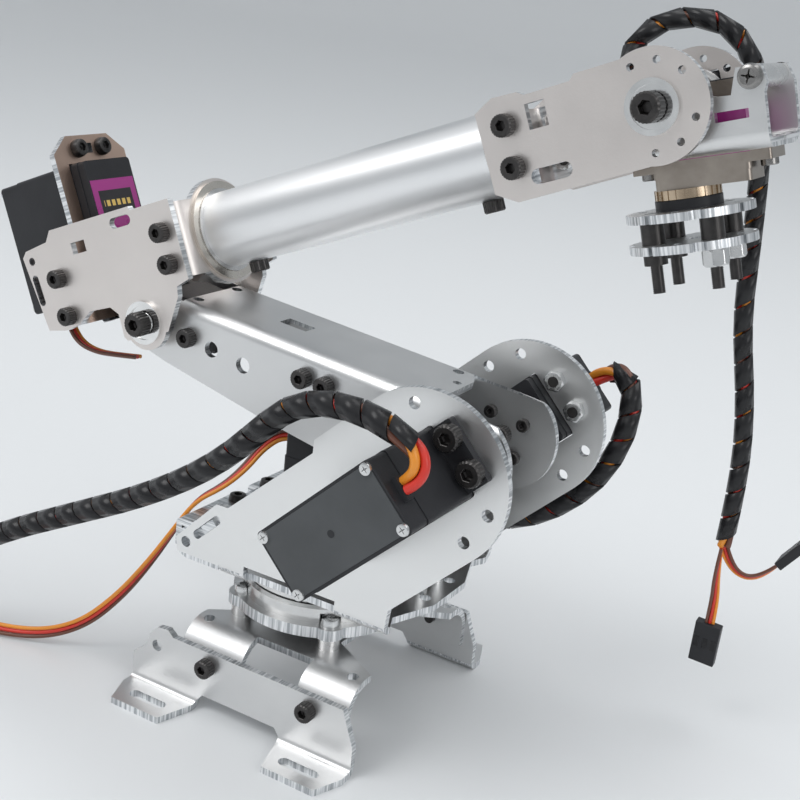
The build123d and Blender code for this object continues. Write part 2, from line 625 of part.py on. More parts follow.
# Elbow box: two flat side plates, the tube's end plate and the roll servo's upright plate
def elbow_side(bearing):
    plate = face((-27.1, ELBOW_TOP_Z), (5, ELBOW_TOP_Z), (5.5, 31.4), (19.9, 31.4), (19.9, 8.8),
                 (15.2, 7.6), (14.5, 4.7), (7.8, -4.0), (0, -4), (-8, -4), (-9.1, -2.8), (-8.9, 4.0),
                 (-11.5, 6.5), (-19.7, 6.8), (-24.8, 4.0), (-30.9, 3.0), (-38.0, 4.2), (-40.7, 26.8),
                 (-38.8, 28.5), (-29.6, 29.5))
    plate += Circle(8.0)
    plate -= Circle(BEARING_R if bearing else M3_SHANK + FIT)
    for x, z in ELBOW_SCREWS:
        plate -= Pos(x, z) * Circle(M3_SHANK + FIT)
    plate -= Pos(-17.3, 25.5) * Rectangle(5.5, 3.4)
    plate -= Pos(0.8, 29.1) * SlotOverall(8.0, 3.0)
    plate -= Pos(-37.3, 25.2) * Circle(1.2)
    plate -= Pos(-37.7, 16.4) * Rot(0, 0, 93) * SlotOverall(9.4, 2.4)
    return plate


ELBOW_SCREWS = ((15, 23), (15, 14), (-28, 18.3), (-28, 7))


def elbow_plate(side):
    if side < 0:
        return at_fore * along_y(elbow_side(True), -ELBOW_OUT_Y, -ELBOW_IN_Y)
    return at_fore * along_y(elbow_side(False), ELBOW_IN_Y, ELBOW_OUT_Y)


def u_plate(x_face, x_lip, z0, z1):
    """An upright plate with a lip bent back along each elbow side plate."""
    reach = abs(x_lip - x_face)
    outer = Rectangle(2 * ELBOW_IN_Y, reach, align=(Align.CENTER, Align.MIN))
    inner = Pos(0, SHEET) * Rectangle(2 * (ELBOW_IN_Y - SHEET), reach, align=(Align.CENTER, Align.MIN))
    outer = fillet(outer.vertices().sort_by(Axis.Y)[:2], BEND + SHEET)
    inner = fillet(inner.vertices().sort_by(Axis.Y)[:2], BEND)
    way = -1 if x_lip < x_face else 1
    plan = Rot(0, 0, 90 if way < 0 else -90) * (outer - inner)
    return along_z(Pos(x_face, 0) * plan, z0, z1)


def end_plate():
    plate = u_plate(END_PLATE_X + SHEET, 9.5, 9.5, 30.4)
    plate += rod((END_PLATE_X, 0, TUBE_LIFT), (END_PLATE_X + SHEET, 0, TUBE_LIFT), END_DISC_R)
    plate -= rod((0, 0, TUBE_LIFT), (40, 0, TUBE_LIFT), BUSH_R)
    for x, z in ELBOW_SCREWS[:2]:
        plate -= rod((x, -30, z), (x, 30, z), M3_SHANK + FIT)
    return at_fore * plate


def roll_bush():
    axis = TUBE_LIFT
    face_x = END_PLATE_X + SHEET
    bush = rod((END_PLATE_X - 2.0, 0, axis), (face_x, 0, axis), BUSH_R)
    bush += rod((face_x, 0, axis), (face_x + 1.0, 0, axis), BUSH_R + 1.0)
    return at_fore * (bush - rod((0, 0, axis), (40, 0, axis), SLEEVE_R + RUN))


def roll_plate():
    x1 = ROLL_SEAT_X + SHEET
    plate = u_plate(x1, ROLL_SEAT_X - 8.5, 3.6, 29.0)
    half = ROLL_PLATE_HALF
    tall = face((-half, 25), (-half, 53.5), (-8.7, ROLL_PLATE_TOP), (8.7, ROLL_PLATE_TOP),
                (half, 53.5), (half, 25))
    plate += along_x(tall, ROLL_SEAT_X, x1)
    low = TUBE_LIFT - BIG.near - 2 * FIT
    high = TUBE_LIFT + BIG.far + 2 * FIT
    plate -= block(ROLL_SEAT_X - 1, x1 + 1, -BIG.half - 2 * FIT, BIG.half + 2 * FIT, low, high)
    plate -= block(ROLL_SEAT_X - 1, x1 + 1, -1.2, 1.2, ROLL_PLATE_TOP - 5.5, ROLL_PLATE_TOP - 2.5)
    for x, y, z in roll_spots():
        plate -= rod((x - 5, y, z), (x + 5, y, z), M3_SHANK + 3 * FIT)
    for x, z in ELBOW_SCREWS[2:]:
        plate -= rod((x, -30, z), (x, 30, z), M3_SHANK + FIT)
    return at_fore * plate


def roll_spots():
    return [(ROLL_SEAT_X, y, TUBE_LIFT + z) for y in (-BIG.hole_y, BIG.hole_y)
            for z in (-BIG.hole_near, BIG.hole_far)]


def roll_servo():
    plane = Plane(origin=(ROLL_SEAT_X, 0, TUBE_LIFT), x_dir=(0, 0, -1), z_dir=(1, 0, 0))
    return at_fore * (plane.location * servo(BIG, BIG.boss_r))


def roll_screws():
    pieces = []
    for x, y, z in roll_spots():
        length = SHEET + BIG.ear_t + NUT_H
        pieces.append(screw((x + SHEET, y, z), (-1, 0, 0), M3_HEAD_R, 2.2, M3_SHANK, length))
        pieces.append(nut((x - BIG.ear_t, y, z), (-1, 0, 0), M3_SHANK))
    return [at_fore * piece for piece in pieces]


def elbow_screws():
    pieces = []
    for x, z in ELBOW_SCREWS:
        for side in (-1, 1):
            pieces.append(m3((x, side * ELBOW_OUT_Y, z), (0, -side, 0), 2 * SHEET + 1.0))
    return [at_fore * piece for piece in pieces]


def flanged_bearing(face_y):
    """Deep-groove bearing pushed in from outside until its flange meets the plate."""
    outer = -face_y - BEARING_FLANGE_T
    inner = outer + BEARING_W
    body = rod((0, -face_y, 0), (0, inner, 0), BEARING_R)
    body += rod((0, outer, 0), (0, -face_y, 0), BEARING_FLANGE_R)
    body -= rod((0, outer - 1, 0), (0, inner + 1, 0), BEARING_BORE_R + RUN)
    groove = ring((0, outer - 1, 0), (0, outer + 0.5, 0), 4.9, 3.1)
    return body - groove


def pivot_screw(face_y, end_y, inner_y):
    """M4 pivot with a spacer ring between the bearing and the turning plate."""
    outer = -face_y - BEARING_FLANGE_T
    bolt = screw((0, outer - 0.1, 0), (0, 1, 0), M4_HEAD_R, M4_HEAD_H, M4_SHANK, inner_y - outer + 0.1)
    spacer = ring((0, outer + BEARING_W + 0.1, 0), (0, end_y, 0), 3.0, M4_SHANK + RUN)
    return [bolt, spacer]


def elbow_horn():
    boss = -ARM_IN_Y + ELBOW_COVER_GAP + SMALL.below + SMALL.above + SMALL.boss_h
    shaft = -ARM_IN_Y + ELBOW_COVER_GAP + SMALL.below + SMALL.above + SMALL.shaft_h
    horn = rod((0, ARM_OUT_Y + 0.4, 0), (0, ELBOW_IN_Y, 0), 7.4)
    horn += rod((0, boss + 0.3, 0), (0, ELBOW_IN_Y, 0), HORN_HUB_R)
    horn -= rod((0, boss - 1, 0), (0, shaft + 0.3, 0), SMALL.shaft_r + RUN)
    horn -= rod((0, boss, 0), (0, ELBOW_IN_Y + 1, 0), 1.4)
    return at_fore * horn


def elbow_horn_screw():
    return at_fore * screw((0, ELBOW_OUT_Y, 0), (0, -1, 0), M3_HEAD_R, 2.0, 1.3, SHEET + 1.0)


# Forearm: hub and lobed flange behind the end plate, the tube, and the fork
def roll_horn():
    start = ROLL_SEAT_X + BIG.above + BIG.boss_h + 0.35
    end = ROLL_SEAT_X + BIG.above + BIG.shaft_h + 2.6
    horn = rod((start, 0, TUBE_LIFT), (end, 0, TUBE_LIFT), HORN_HUB_R)
    horn += rod((end - HORN_T, 0, TUBE_LIFT), (end, 0, TUBE_LIFT), HORN_R)
    inner = ROLL_SEAT_X + BIG.above + BIG.shaft_h + 0.2
    horn -= rod((start - 1, 0, TUBE_LIFT), (inner, 0, TUBE_LIFT), BIG.shaft_r + RUN)
    return at_fore * horn


def roll_hub():
    start = ROLL_SEAT_X + BIG.above + BIG.shaft_h + 2.6
    lobes = Circle(10.6)
    for k in range(4):
        lobes += Rot(0, 0, 90 * k) * (Pos(HUB_LOBE_R - 3.2, 0) * Circle(3.2))
    for k in range(4):
        lobes -= Rot(0, 0, 90 * k) * (Pos(HUB_LOBE_R - 3.2, 0) * Circle(1.3))
    flange_x = END_PLATE_X - 2.0 - 0.3
    hub = rod((start, 0, 0), (start + 3, 0, 0), 7.6)
    hub += rod((start, 0, 0), (flange_x, 0, 0), 6.0)
    hub += along_x(lobes, flange_x - 3.0, flange_x)
    hub += rod((flange_x - 1, 0, 0), (TUBE_START_X, 0, 0), SLEEVE_R)
    hub += rod((TUBE_START_X - 1, 0, 0), (TUBE_START_X + 12, 0, 0), TUBE_R - TUBE_WALL - RUN)
    hub -= rod((TUBE_SCREWS_X[0], 0, -20), (TUBE_SCREWS_X[0], 0, 0), M3_SHANK + FIT)
    return at_fore * (Pos(0, 0, TUBE_LIFT) * hub)


def forearm_tube():
    tube = ring((TUBE_START_X, 0, 0), (TUBE_END_X, 0, 0), TUBE_R, TUBE_R - TUBE_WALL)
    for x in TUBE_SCREWS_X:
        tube -= rod((x, 0, -20), (x, 0, 0), M3_SHANK + FIT)
    return at_fore * (Pos(0, 0, TUBE_LIFT) * tube)


def tube_screws():
    seat = -TUBE_R
    pieces = [m3((x, 0, seat), (0, 0, 1), 6.0) for x in TUBE_SCREWS_X]
    return [at_fore * (Pos(0, 0, TUBE_LIFT) * piece) for piece in pieces]


def tube_plug():
    """Turned end plug: spigot in the tube, flange against the fork's cross plate."""
    plate_x = WRIST_REACH + FORK_START_X
    spigot = rod((TUBE_END_X - 12, 0, 0), (TUBE_END_X, 0, 0), TUBE_R - TUBE_WALL - RUN)
    flange = rod((TUBE_END_X, 0, 0), (plate_x, 0, 0), TUBE_R + 1.4)
    body = spigot + flange - rod((TUBE_SCREWS_X[1], 0, -20), (TUBE_SCREWS_X[1], 0, 0), M3_SHANK + FIT)
    for y in (-6, 6):
        body -= rod((plate_x - 6, y, 0), (plate_x + 1, y, 0), M3_SHANK + FIT)
    return at_fore * (Pos(0, 0, TUBE_LIFT) * body)


FORK_SCREWS = ((-35.4, 5), (-35.4, -5))


def fork_side(bearing):
    plate = face((-42.6, 9.4), (-37.5, 11.9), (-31, 11.6), (-29.3, 10.5), (-17.7, 10.5),
                 (-16.3, 11.8), (-5.2, 11.8), (0, 0), (-3, -FORK_DISC_R + 0.4), (-36.6, -13),
                 (-42.1, -9.9))
    plate += Circle(FORK_DISC_R)
    plate -= Circle(BEARING_R if bearing else MICRO_BOSS_R + 0.4)
    for x, z in FORK_SCREWS:
        plate -= Pos(x, z) * Circle(M3_SHANK + FIT)
    if bearing:
        plate -= Pos(-27.2, 5.4) * Rectangle(5.0, 6.0)
        plate -= Pos(-26.7, -8.3) * SlotOverall(10.5, 3.6)
    else:
        case = RectangleRounded(SMALL.near + SMALL.far + 4 * FIT, 2 * SMALL.half + 4 * FIT, 0.8)
        plate -= Pos((SMALL.near - SMALL.far) / 2, 0) * case
        for x in (SMALL.hole_near, -SMALL.hole_far):
            plate -= Pos(x, 0) * Circle(1.15)
    for angle in (108, 72, 36, -27, -63, -99):
        plate -= Rot(0, 0, angle) * (Pos(10, 0) * Circle(0.9))
    return plate


def fork_plate(side):
    if side < 0:
        return at_fork * along_y(fork_side(True), -FORK_OUT_Y, -FORK_IN_Y)
    return at_fork * along_y(fork_side(False), FORK_IN_Y, FORK_OUT_Y)


def fork_base():
    """Bent cross plate between the fork's sides, bolted to the tube's end plug."""
    reach = 12.0
    outer = Rectangle(2 * FORK_IN_Y, reach, align=(Align.CENTER, Align.MIN))
    inner = Pos(0, SHEET) * Rectangle(2 * (FORK_IN_Y - SHEET), reach, align=(Align.CENTER, Align.MIN))
    outer = fillet(outer.vertices().sort_by(Axis.Y)[:2], BEND + SHEET)
    inner = fillet(inner.vertices().sort_by(Axis.Y)[:2], BEND)
    plan = Pos(FORK_START_X, 0) * (Rot(0, 0, -90) * (outer - inner))
    plate = along_z(plan, -9.6, 9.2)
    for x, z in FORK_SCREWS:
        plate -= rod((x, -30, z), (x, 30, z), M3_SHANK + FIT)
    for y in (-6, 6):
        plate -= rod((FORK_START_X - 1, y, 0), (FORK_START_X + 3, y, 0), M3_SHANK + FIT)
    return at_fork * plate


def fork_screws():
    pieces = []
    for x, z in FORK_SCREWS:
        for side in (-1, 1):
            pieces.append(m3((x, side * FORK_OUT_Y, z), (0, -side, 0), 2 * SHEET + NUT_H))
            pieces.append(nut((x, side * (FORK_IN_Y - SHEET), z), (0, -side, 0), M3_SHANK))
    for y in (-6, 6):
        pieces.append(screw((FORK_START_X + SHEET, y, 0), (-1, 0, 0), M3_HEAD_R, 2.2, M3_SHANK, SHEET + 4))
    return [at_fork * piece for piece in pieces]


def wrist_servo():
    plane = Plane(origin=(0, FORK_OUT_Y, 0), x_dir=(1, 0, 0), z_dir=(0, -1, 0))
    return at_fork * (plane.location * servo(SMALL, MICRO_BOSS_R, gland=False))


def wrist_servo_screws():
    seat = FORK_OUT_Y + SMALL.ear_t
    pieces = [screw((x, seat, 0), (0, -1, 0), 2.0, 1.6, 1.05, SMALL.ear_t + SHEET + 1)
              for x in (SMALL.hole_near, -SMALL.hole_far)]
    return [at_fork * piece for piece in pieces]


# Wrist: bent bracket with the tool servo upright in it, output down
def wrist_bracket():
    low = WRIST_FLOOR_Z - SHEET
    sheet = along_x(channel(WRIST_OUT_Y, low, 12, BEND, True), -14, 25)
    front = face((-13, low - 1), (-13, -6.5), (-9.2, -3.5), (-7.6, 0), (0, 7.6), (7.6, 1), (12.4, 0),
                 (15.7, -0.2), (17.2, 5.4), (22.6, 5.4), (23.6, 1.4), (22.9, -0.6), (23, low - 1))
    front += Circle(7.8)
    front -= Circle(M4_SHANK + RUN)
    front -= Pos(20.3, 3.1) * Circle(M3_SHANK + FIT)
    front -= face((11.7, -5.6), (19.2, -5.4), (19.2, -3.4), (11.7, -3.4))
    solid = sheet & along_y(front, -WRIST_OUT_Y - 1, 0)
    back = face((-13, low - 1), (-13, -6.5), (-9.2, -3.5), (-7.6, 0), (0, 7.6), (7.6, 1), (12.4, 0),
                (15.7, -0.2), (17.2, 5.4), (22.6, 5.4), (23.9, 1.4), (23.9, -8.9), (23, low - 1))
    back += Circle(7.8)
    back -= Circle(MICRO_BOSS_R + 0.5)
    back -= Pos(20.3, 3.1) * Circle(M3_SHANK + FIT)
    solid += sheet & along_y(back, 0, WRIST_OUT_Y + 1)
    case = 2 * FIT
    solid -= block(-SMALL.near - case, SMALL.far + case, -SMALL.half - case, SMALL.half + case, low - 1, -5)
    for x in (-SMALL.hole_near, SMALL.hole_far):
        solid -= rod((x, 0, low - 1), (x, 0, -5), 1.15)
    return at_wrist * solid


def tool_servo():
    plane = Plane(origin=(0, 0, WRIST_FLOOR_Z - SHEET - SMALL.ear_t), x_dir=(-1, 0, 0), z_dir=(0, 0, -1))
    return at_wrist * (plane.location * servo(SMALL, MICRO_BOSS_R, gland=False))


def tool_servo_screws():
    seat = WRIST_FLOOR_Z - SHEET - SMALL.ear_t
    length = SMALL.ear_t + SHEET + 1.5
    return [at_wrist * screw((x, 0, seat), (0, 0, 1), 2.0, 1.6, 1.05, length)
            for x in (-SMALL.hole_near, SMALL.hole_far)]


def ear_spacer():
    """Spacer and its two pan-head screws between the bracket's raised ears."""
    x = 20.3
    z = 3.1
    tube = ring((x, -WRIST_IN_Y, z), (x, WRIST_IN_Y, z), 2.6, M3_SHANK + FIT)
    pieces = [tube]
    for side in (-1, 1):
        pieces.append(screw((x, side * WRIST_OUT_Y, z), (0, -side, 0), M3_HEAD_R, 1.9, M3_SHANK, 8.0))
    return [at_wrist * piece for piece in pieces]


def wrist_horn():
    shaft = FORK_OUT_Y - SMALL.above - SMALL.shaft_h
    boss = FORK_OUT_Y - SMALL.above - SMALL.boss_h
    horn = rod((0, WRIST_IN_Y, 0), (0, WRIST_IN_Y - 1.6, 0), 7.0)
    horn -= rod((0, WRIST_IN_Y + 1, 0), (0, boss - 0.3, 0), MICRO_BOSS_R + 0.4)
    horn -= rod((0, WRIST_IN_Y + 1, 0), (0, shaft - 2, 0), SMALL.shaft_r + RUN)
    return at_wrist * horn


def wrist_pivot():
    bolt, spacer = pivot_screw(FORK_OUT_Y, -WRIST_OUT_Y, -WRIST_IN_Y + NUT_H)
    return [at_wrist * bolt, at_wrist * spacer, at_wrist * nut((0, -WRIST_IN_Y, 0), (0, 1, 0), M4_SHANK)]


def gear_ring():
    """Ribbed brass ring round the tool servo's output end."""
    top = WRIST_FLOOR_Z - SHEET - SMALL.ear_t - SMALL.above
    plan = Circle(7.7) - Circle(MICRO_BOSS_R + RUN)
    for k in range(24):
        plan -= Rot(0, 0, 15 * k) * (Pos(7.9, 0) * Rectangle(0.9, 0.9))
    return at_wrist * along_z(plan, top - GEAR_RING_T, top)


# Tool flange: black horn, two lugged discs, spacers and long bolts
def tool_horn():
    top = WRIST_FLOOR_Z - SHEET - SMALL.ear_t - SMALL.above - SMALL.boss_h - 0.2
    shaft = WRIST_FLOOR_Z - SHEET - SMALL.ear_t - SMALL.above - SMALL.shaft_h
    case_end = WRIST_FLOOR_Z - SHEET - SMALL.ear_t - SMALL.above - GEAR_RING_T - 0.15
    horn = rod((0, 0, TOOL_UPPER_Z), (0, 0, case_end), TOOL_HORN_R)
    horn -= rod((0, 0, top), (0, 0, 0), MICRO_BOSS_R + 0.2)
    horn -= rod((0, 0, shaft - 0.2), (0, 0, 0), SMALL.shaft_r + RUN)
    return at_wrist * horn


def tool_spots():
    return [(x, y) for x in (-TOOL_BOLT, TOOL_BOLT) for y in (-TOOL_BOLT, TOOL_BOLT)]


def tool_disc(z_top):
    plan = Circle(TOOL_DISC_R)
    for k in range(8):
        notch = Rectangle(3.4, 1.2) if k % 2 else Circle(1.5)
        plan -= Rot(0, 0, 45 * k + 22.5) * (Pos(TOOL_DISC_R, 0) * notch)
    for x, y in tool_spots():
        plan -= Pos(x, y) * Circle(M3_SHANK + FIT)
    for k in range(4):
        plan -= Rot(0, 0, 90 * k) * (Pos(11.4, 0) * Circle(1.1))
    plan -= Circle(2.2)
    return at_wrist * along_z(plan, z_top - TOOL_DISC_T, z_top)


def tool_spacers():
    high = TOOL_UPPER_Z - TOOL_DISC_T
    return [at_wrist * ring((x, y, TOOL_LOWER_Z), (x, y, high), 2.75, M3_SHANK + FIT)
            for x, y in tool_spots()]


def tool_bolts():
    """Two bolts with a collar and two with a pair of nuts under the discs, their ends free."""
    low = TOOL_LOWER_Z - TOOL_DISC_T
    pieces = []
    for x, y in tool_spots():
        clamp = TOOL_COLLAR_H if x < 0 else 2 * TOOL_NUT_H
        bolt = rod((x, y, low - clamp), (x, y, TOOL_UPPER_Z), M3_CORE)
        bolt += rod((x, y, TOOL_BOLT_END_Z), (x, y, low - clamp), M3_SHANK)
        if x < 0:
            bolt += rod((x, y, low - clamp), (x, y, low), M3_HEAD_R)
        else:
            for k in range(2):
                hexagon = Pos(x, y) * Rot(0, 0, 20 * k) * RegularPolygon(NUT_R, 6)
                bolt += along_z(hexagon, low - (k + 1) * TOOL_NUT_H, low - k * TOOL_NUT_H - 0.1)
        pieces.append(at_wrist * bolt)
    return pieces


# Leads, each with its real visible route
FRONT_LEAD = [(55.65, -55.6, 96.45), (58.3, -55.5, 99.4), (58.2, -55.3, 103.6), (54.4, -54.9, 106.9),
              (48, -54.3, 109), (39, -53.5, 110), (30, -52.7, 109.2), (20.5, -51.8, 105.3),
              (12, -51, 97.6), (3.5, -50.4, 88.5), (-9, -50, 78), (-27, -49.5, 66.5),
              (-50, -49, 54.5), (-76, -49, 41), (-98, -50, 27), (-115, -53, 13), (-131, -58, 4.6),
              (-150, -66, 3.4)]
WAIST_LEAD = [(-10.35, 0, 75.15), (-15.6, -0.2, 75), (-20.2, -4, 70.5), (-22.2, -9.5, 64.5),
              (-26, -14, 59.2), (-32.5, -18.5, 54), (-36.2, -23, 45), (-41.5, -27, 34), (-50, -30, 21),
              (-61, -33.5, 9), (-74, -38.5, 2.9), (-91, -44.5, 2.1), (-108, -48, 2.3)]
REAR_LEAD = [(55.65, 55.6, 96.45), (58.8, 55.4, 99.8), (63.4, 54.6, 101.6), (68, 53, 99.6),
             (70.2, 50.8, 93.6), (70.4, 48, 84), (66.5, 45, 72), (57.5, 42, 61), (45, 39.6, 53),
             (32, 38.4, 50.4), (20, 37.8, 51.6), (12.6, 37.6, 52.4)]
HANK = (-18.0, 12.0, 33.6, 41.6, 47.0, 58.0)
WRIST_LEAD = [(-18.2, 33.0, -6.3), (-24.6, 34.0, -3.0), (-28.5, 36.5, 6), (-24, 39, 15.5),
              (-13, 41, 19.5), (-1.5, 42.5, 17), (6.5, 43.6, 5), (9.6, 44.6, -13), (11.2, 45.8, -36),
              (12.2, 47.2, -58), (17.2, 48.6, -80), (19.4, 50, -102), (18.4, 51.4, -124)]
ROLL_LEAD = [(-50.4, 0, 8.2), (-50.2, 0, 3.6), (-47.5, -0.5, -2), (-41, -1, -5.8), (-33, -1.5, -8),
             (-24.5, -1.5, -10.1)]


def rear_hank():
    """Spare length of the rear lead, folded flat and tied behind the rear cheek."""
    x0, x1, y0, y1, z0, z1 = HANK
    loop = block(x0, x1, y0, y1, z0, z1)
    return fillet(loop.edges().filter_by(Axis.Y), 0.45 * (z1 - z0))


def wrist_tail(points):
    return cord([tuple(wrist + Vector(*p)) for p in points], TAIL_R)


TAIL_A = [(18.2, 50.0, -124.5), (18.4, 49.6, -133), (19.2, 50.4, -141), (18.8, 51.6, -149)]
TAIL_B = [(18.2, 52.9, -124.9), (20.4, 54.2, -130.5), (25.4, 54.8, -133.4), (30.6, 55, -130.6),
          (34.2, 55, -125.6)]


def wrist_plugs():
    plugs = []
    for tail, side in ((TAIL_A, Vector(1, 0, 0)), (TAIL_B, Vector(0, 1, 0))):
        way = (Vector(*tail[-1]) - Vector(*tail[-2])).normalized()
        side = (side - way * side.dot(way)).normalized()
        plugs.append(plug(wrist + Vector(*tail[-1]) + way * 0.05, way, side))
    return plugs


nodes = {
    "foot_bracket_front": foot_bracket(),
    "foot_bracket_rear": mirrored(foot_bracket()),
    "base_plate": base_plate(),
    "foot_bracket_screws": foot_screws(),
    "turntable_disc": turn_disc(),
    "turntable_standoffs": standoffs(),
    "turntable_lug_screws": lug_screws(),
    "turntable_lower_race": lower_race(),
    "waist_servo_horn": waist_horn(),
    "turntable_upper_race": upper_race(),
    "turret_bracket": turret_bracket(),
    "waist_servo": waist_servo(),
    "waist_servo_fixings": waist_spacers() + waist_screws(),
    "shoulder_servo_front": shoulder_servo(-1),
    "shoulder_servo_rear": shoulder_servo(1),
    "turret_screws": shoulder_servo_screws() + cross_screws(),
    "turret_cross_plate": cross_plate(),
    "upper_arm_channel": arm_channel(),
    "shoulder_horns": [shoulder_horn(-1), shoulder_horn(1)],
    "shoulder_horn_screws": shoulder_horn_screws(),
    "upper_arm_side_screws": arm_screws(),
    "elbow_servo": elbow_servo(),
    "elbow_servo_post": elbow_servo_post(),
    "elbow_pivot_screw": [at_fore * p for p in pivot_screw(ELBOW_OUT_Y, -ARM_OUT_Y, -ARM_IN_Y - 0.1)],
    "elbow_plate_front": elbow_plate(-1),
    "elbow_plate_rear": elbow_plate(1),
    "elbow_box_screws": elbow_screws() + roll_screws() + [elbow_horn_screw()],
    "elbow_pivot_bearing": at_fore * flanged_bearing(ELBOW_OUT_Y),
    "elbow_servo_horn": elbow_horn(),
    "tube_end_plate": end_plate(),
    "tube_roll_bush": roll_bush(),
    "roll_servo_plate": roll_plate(),
    "roll_servo": roll_servo(),
    "roll_servo_horn": roll_horn(),
    "roll_hub": roll_hub(),
    "forearm_tube": forearm_tube(),
    "forearm_end_plug": tube_plug(),
    "fork_cross_plate": fork_base(),
    "fork_plate_front": fork_plate(-1),
    "fork_plate_rear": fork_plate(1),
    "forearm_screws": fork_screws() + tube_screws() + wrist_servo_screws(),
    "wrist_pivot_bearing": at_fork * flanged_bearing(FORK_OUT_Y),
    "wrist_servo": wrist_servo(),
    "wrist_bracket": wrist_bracket(),
    "wrist_pivot_screw": wrist_pivot(),
    "wrist_servo_horn": wrist_horn(),
    "tool_servo": tool_servo(),
    "wrist_bracket_screws": tool_servo_screws() + ear_spacer(),
    "tool_servo_gear_ring": gear_ring(),
    "tool_flange_discs": [tool_disc(TOOL_UPPER_Z), tool_disc(TOOL_LOWER_Z)],
    "tool_servo_horn": tool_horn(),
    "tool_flange_bolts": tool_bolts() + tool_spacers(),
    "shoulder_servo_lead": cord(FRONT_LEAD, WRAP_R),
    "waist_servo_lead": cord(WAIST_LEAD, LEAD_R),
    "roll_servo_lead": at_fore * cord(ROLL_LEAD, LEAD_R),
    "shoulder_rear_lead": cord(REAR_LEAD, WRAP_R),
    "shoulder_rear_hank": rear_hank(),
    "wrist_lead": cord([tuple(wrist + Vector(*p)) for p in WRIST_LEAD], BUNDLE_R),
    "wrist_lead_tails": [wrist_tail(TAIL_A), wrist_tail(TAIL_B)],
    "wrist_lead_plugs": wrist_plugs(),
}

os.makedirs("parts", exist_ok=True)
for name, shape in nodes.items():
    solid = Compound(shape) if isinstance(shape, list) else shape
    export_step(solid, f"parts/{name}.step")
print(len(nodes), "nodes")
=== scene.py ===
import json
import math

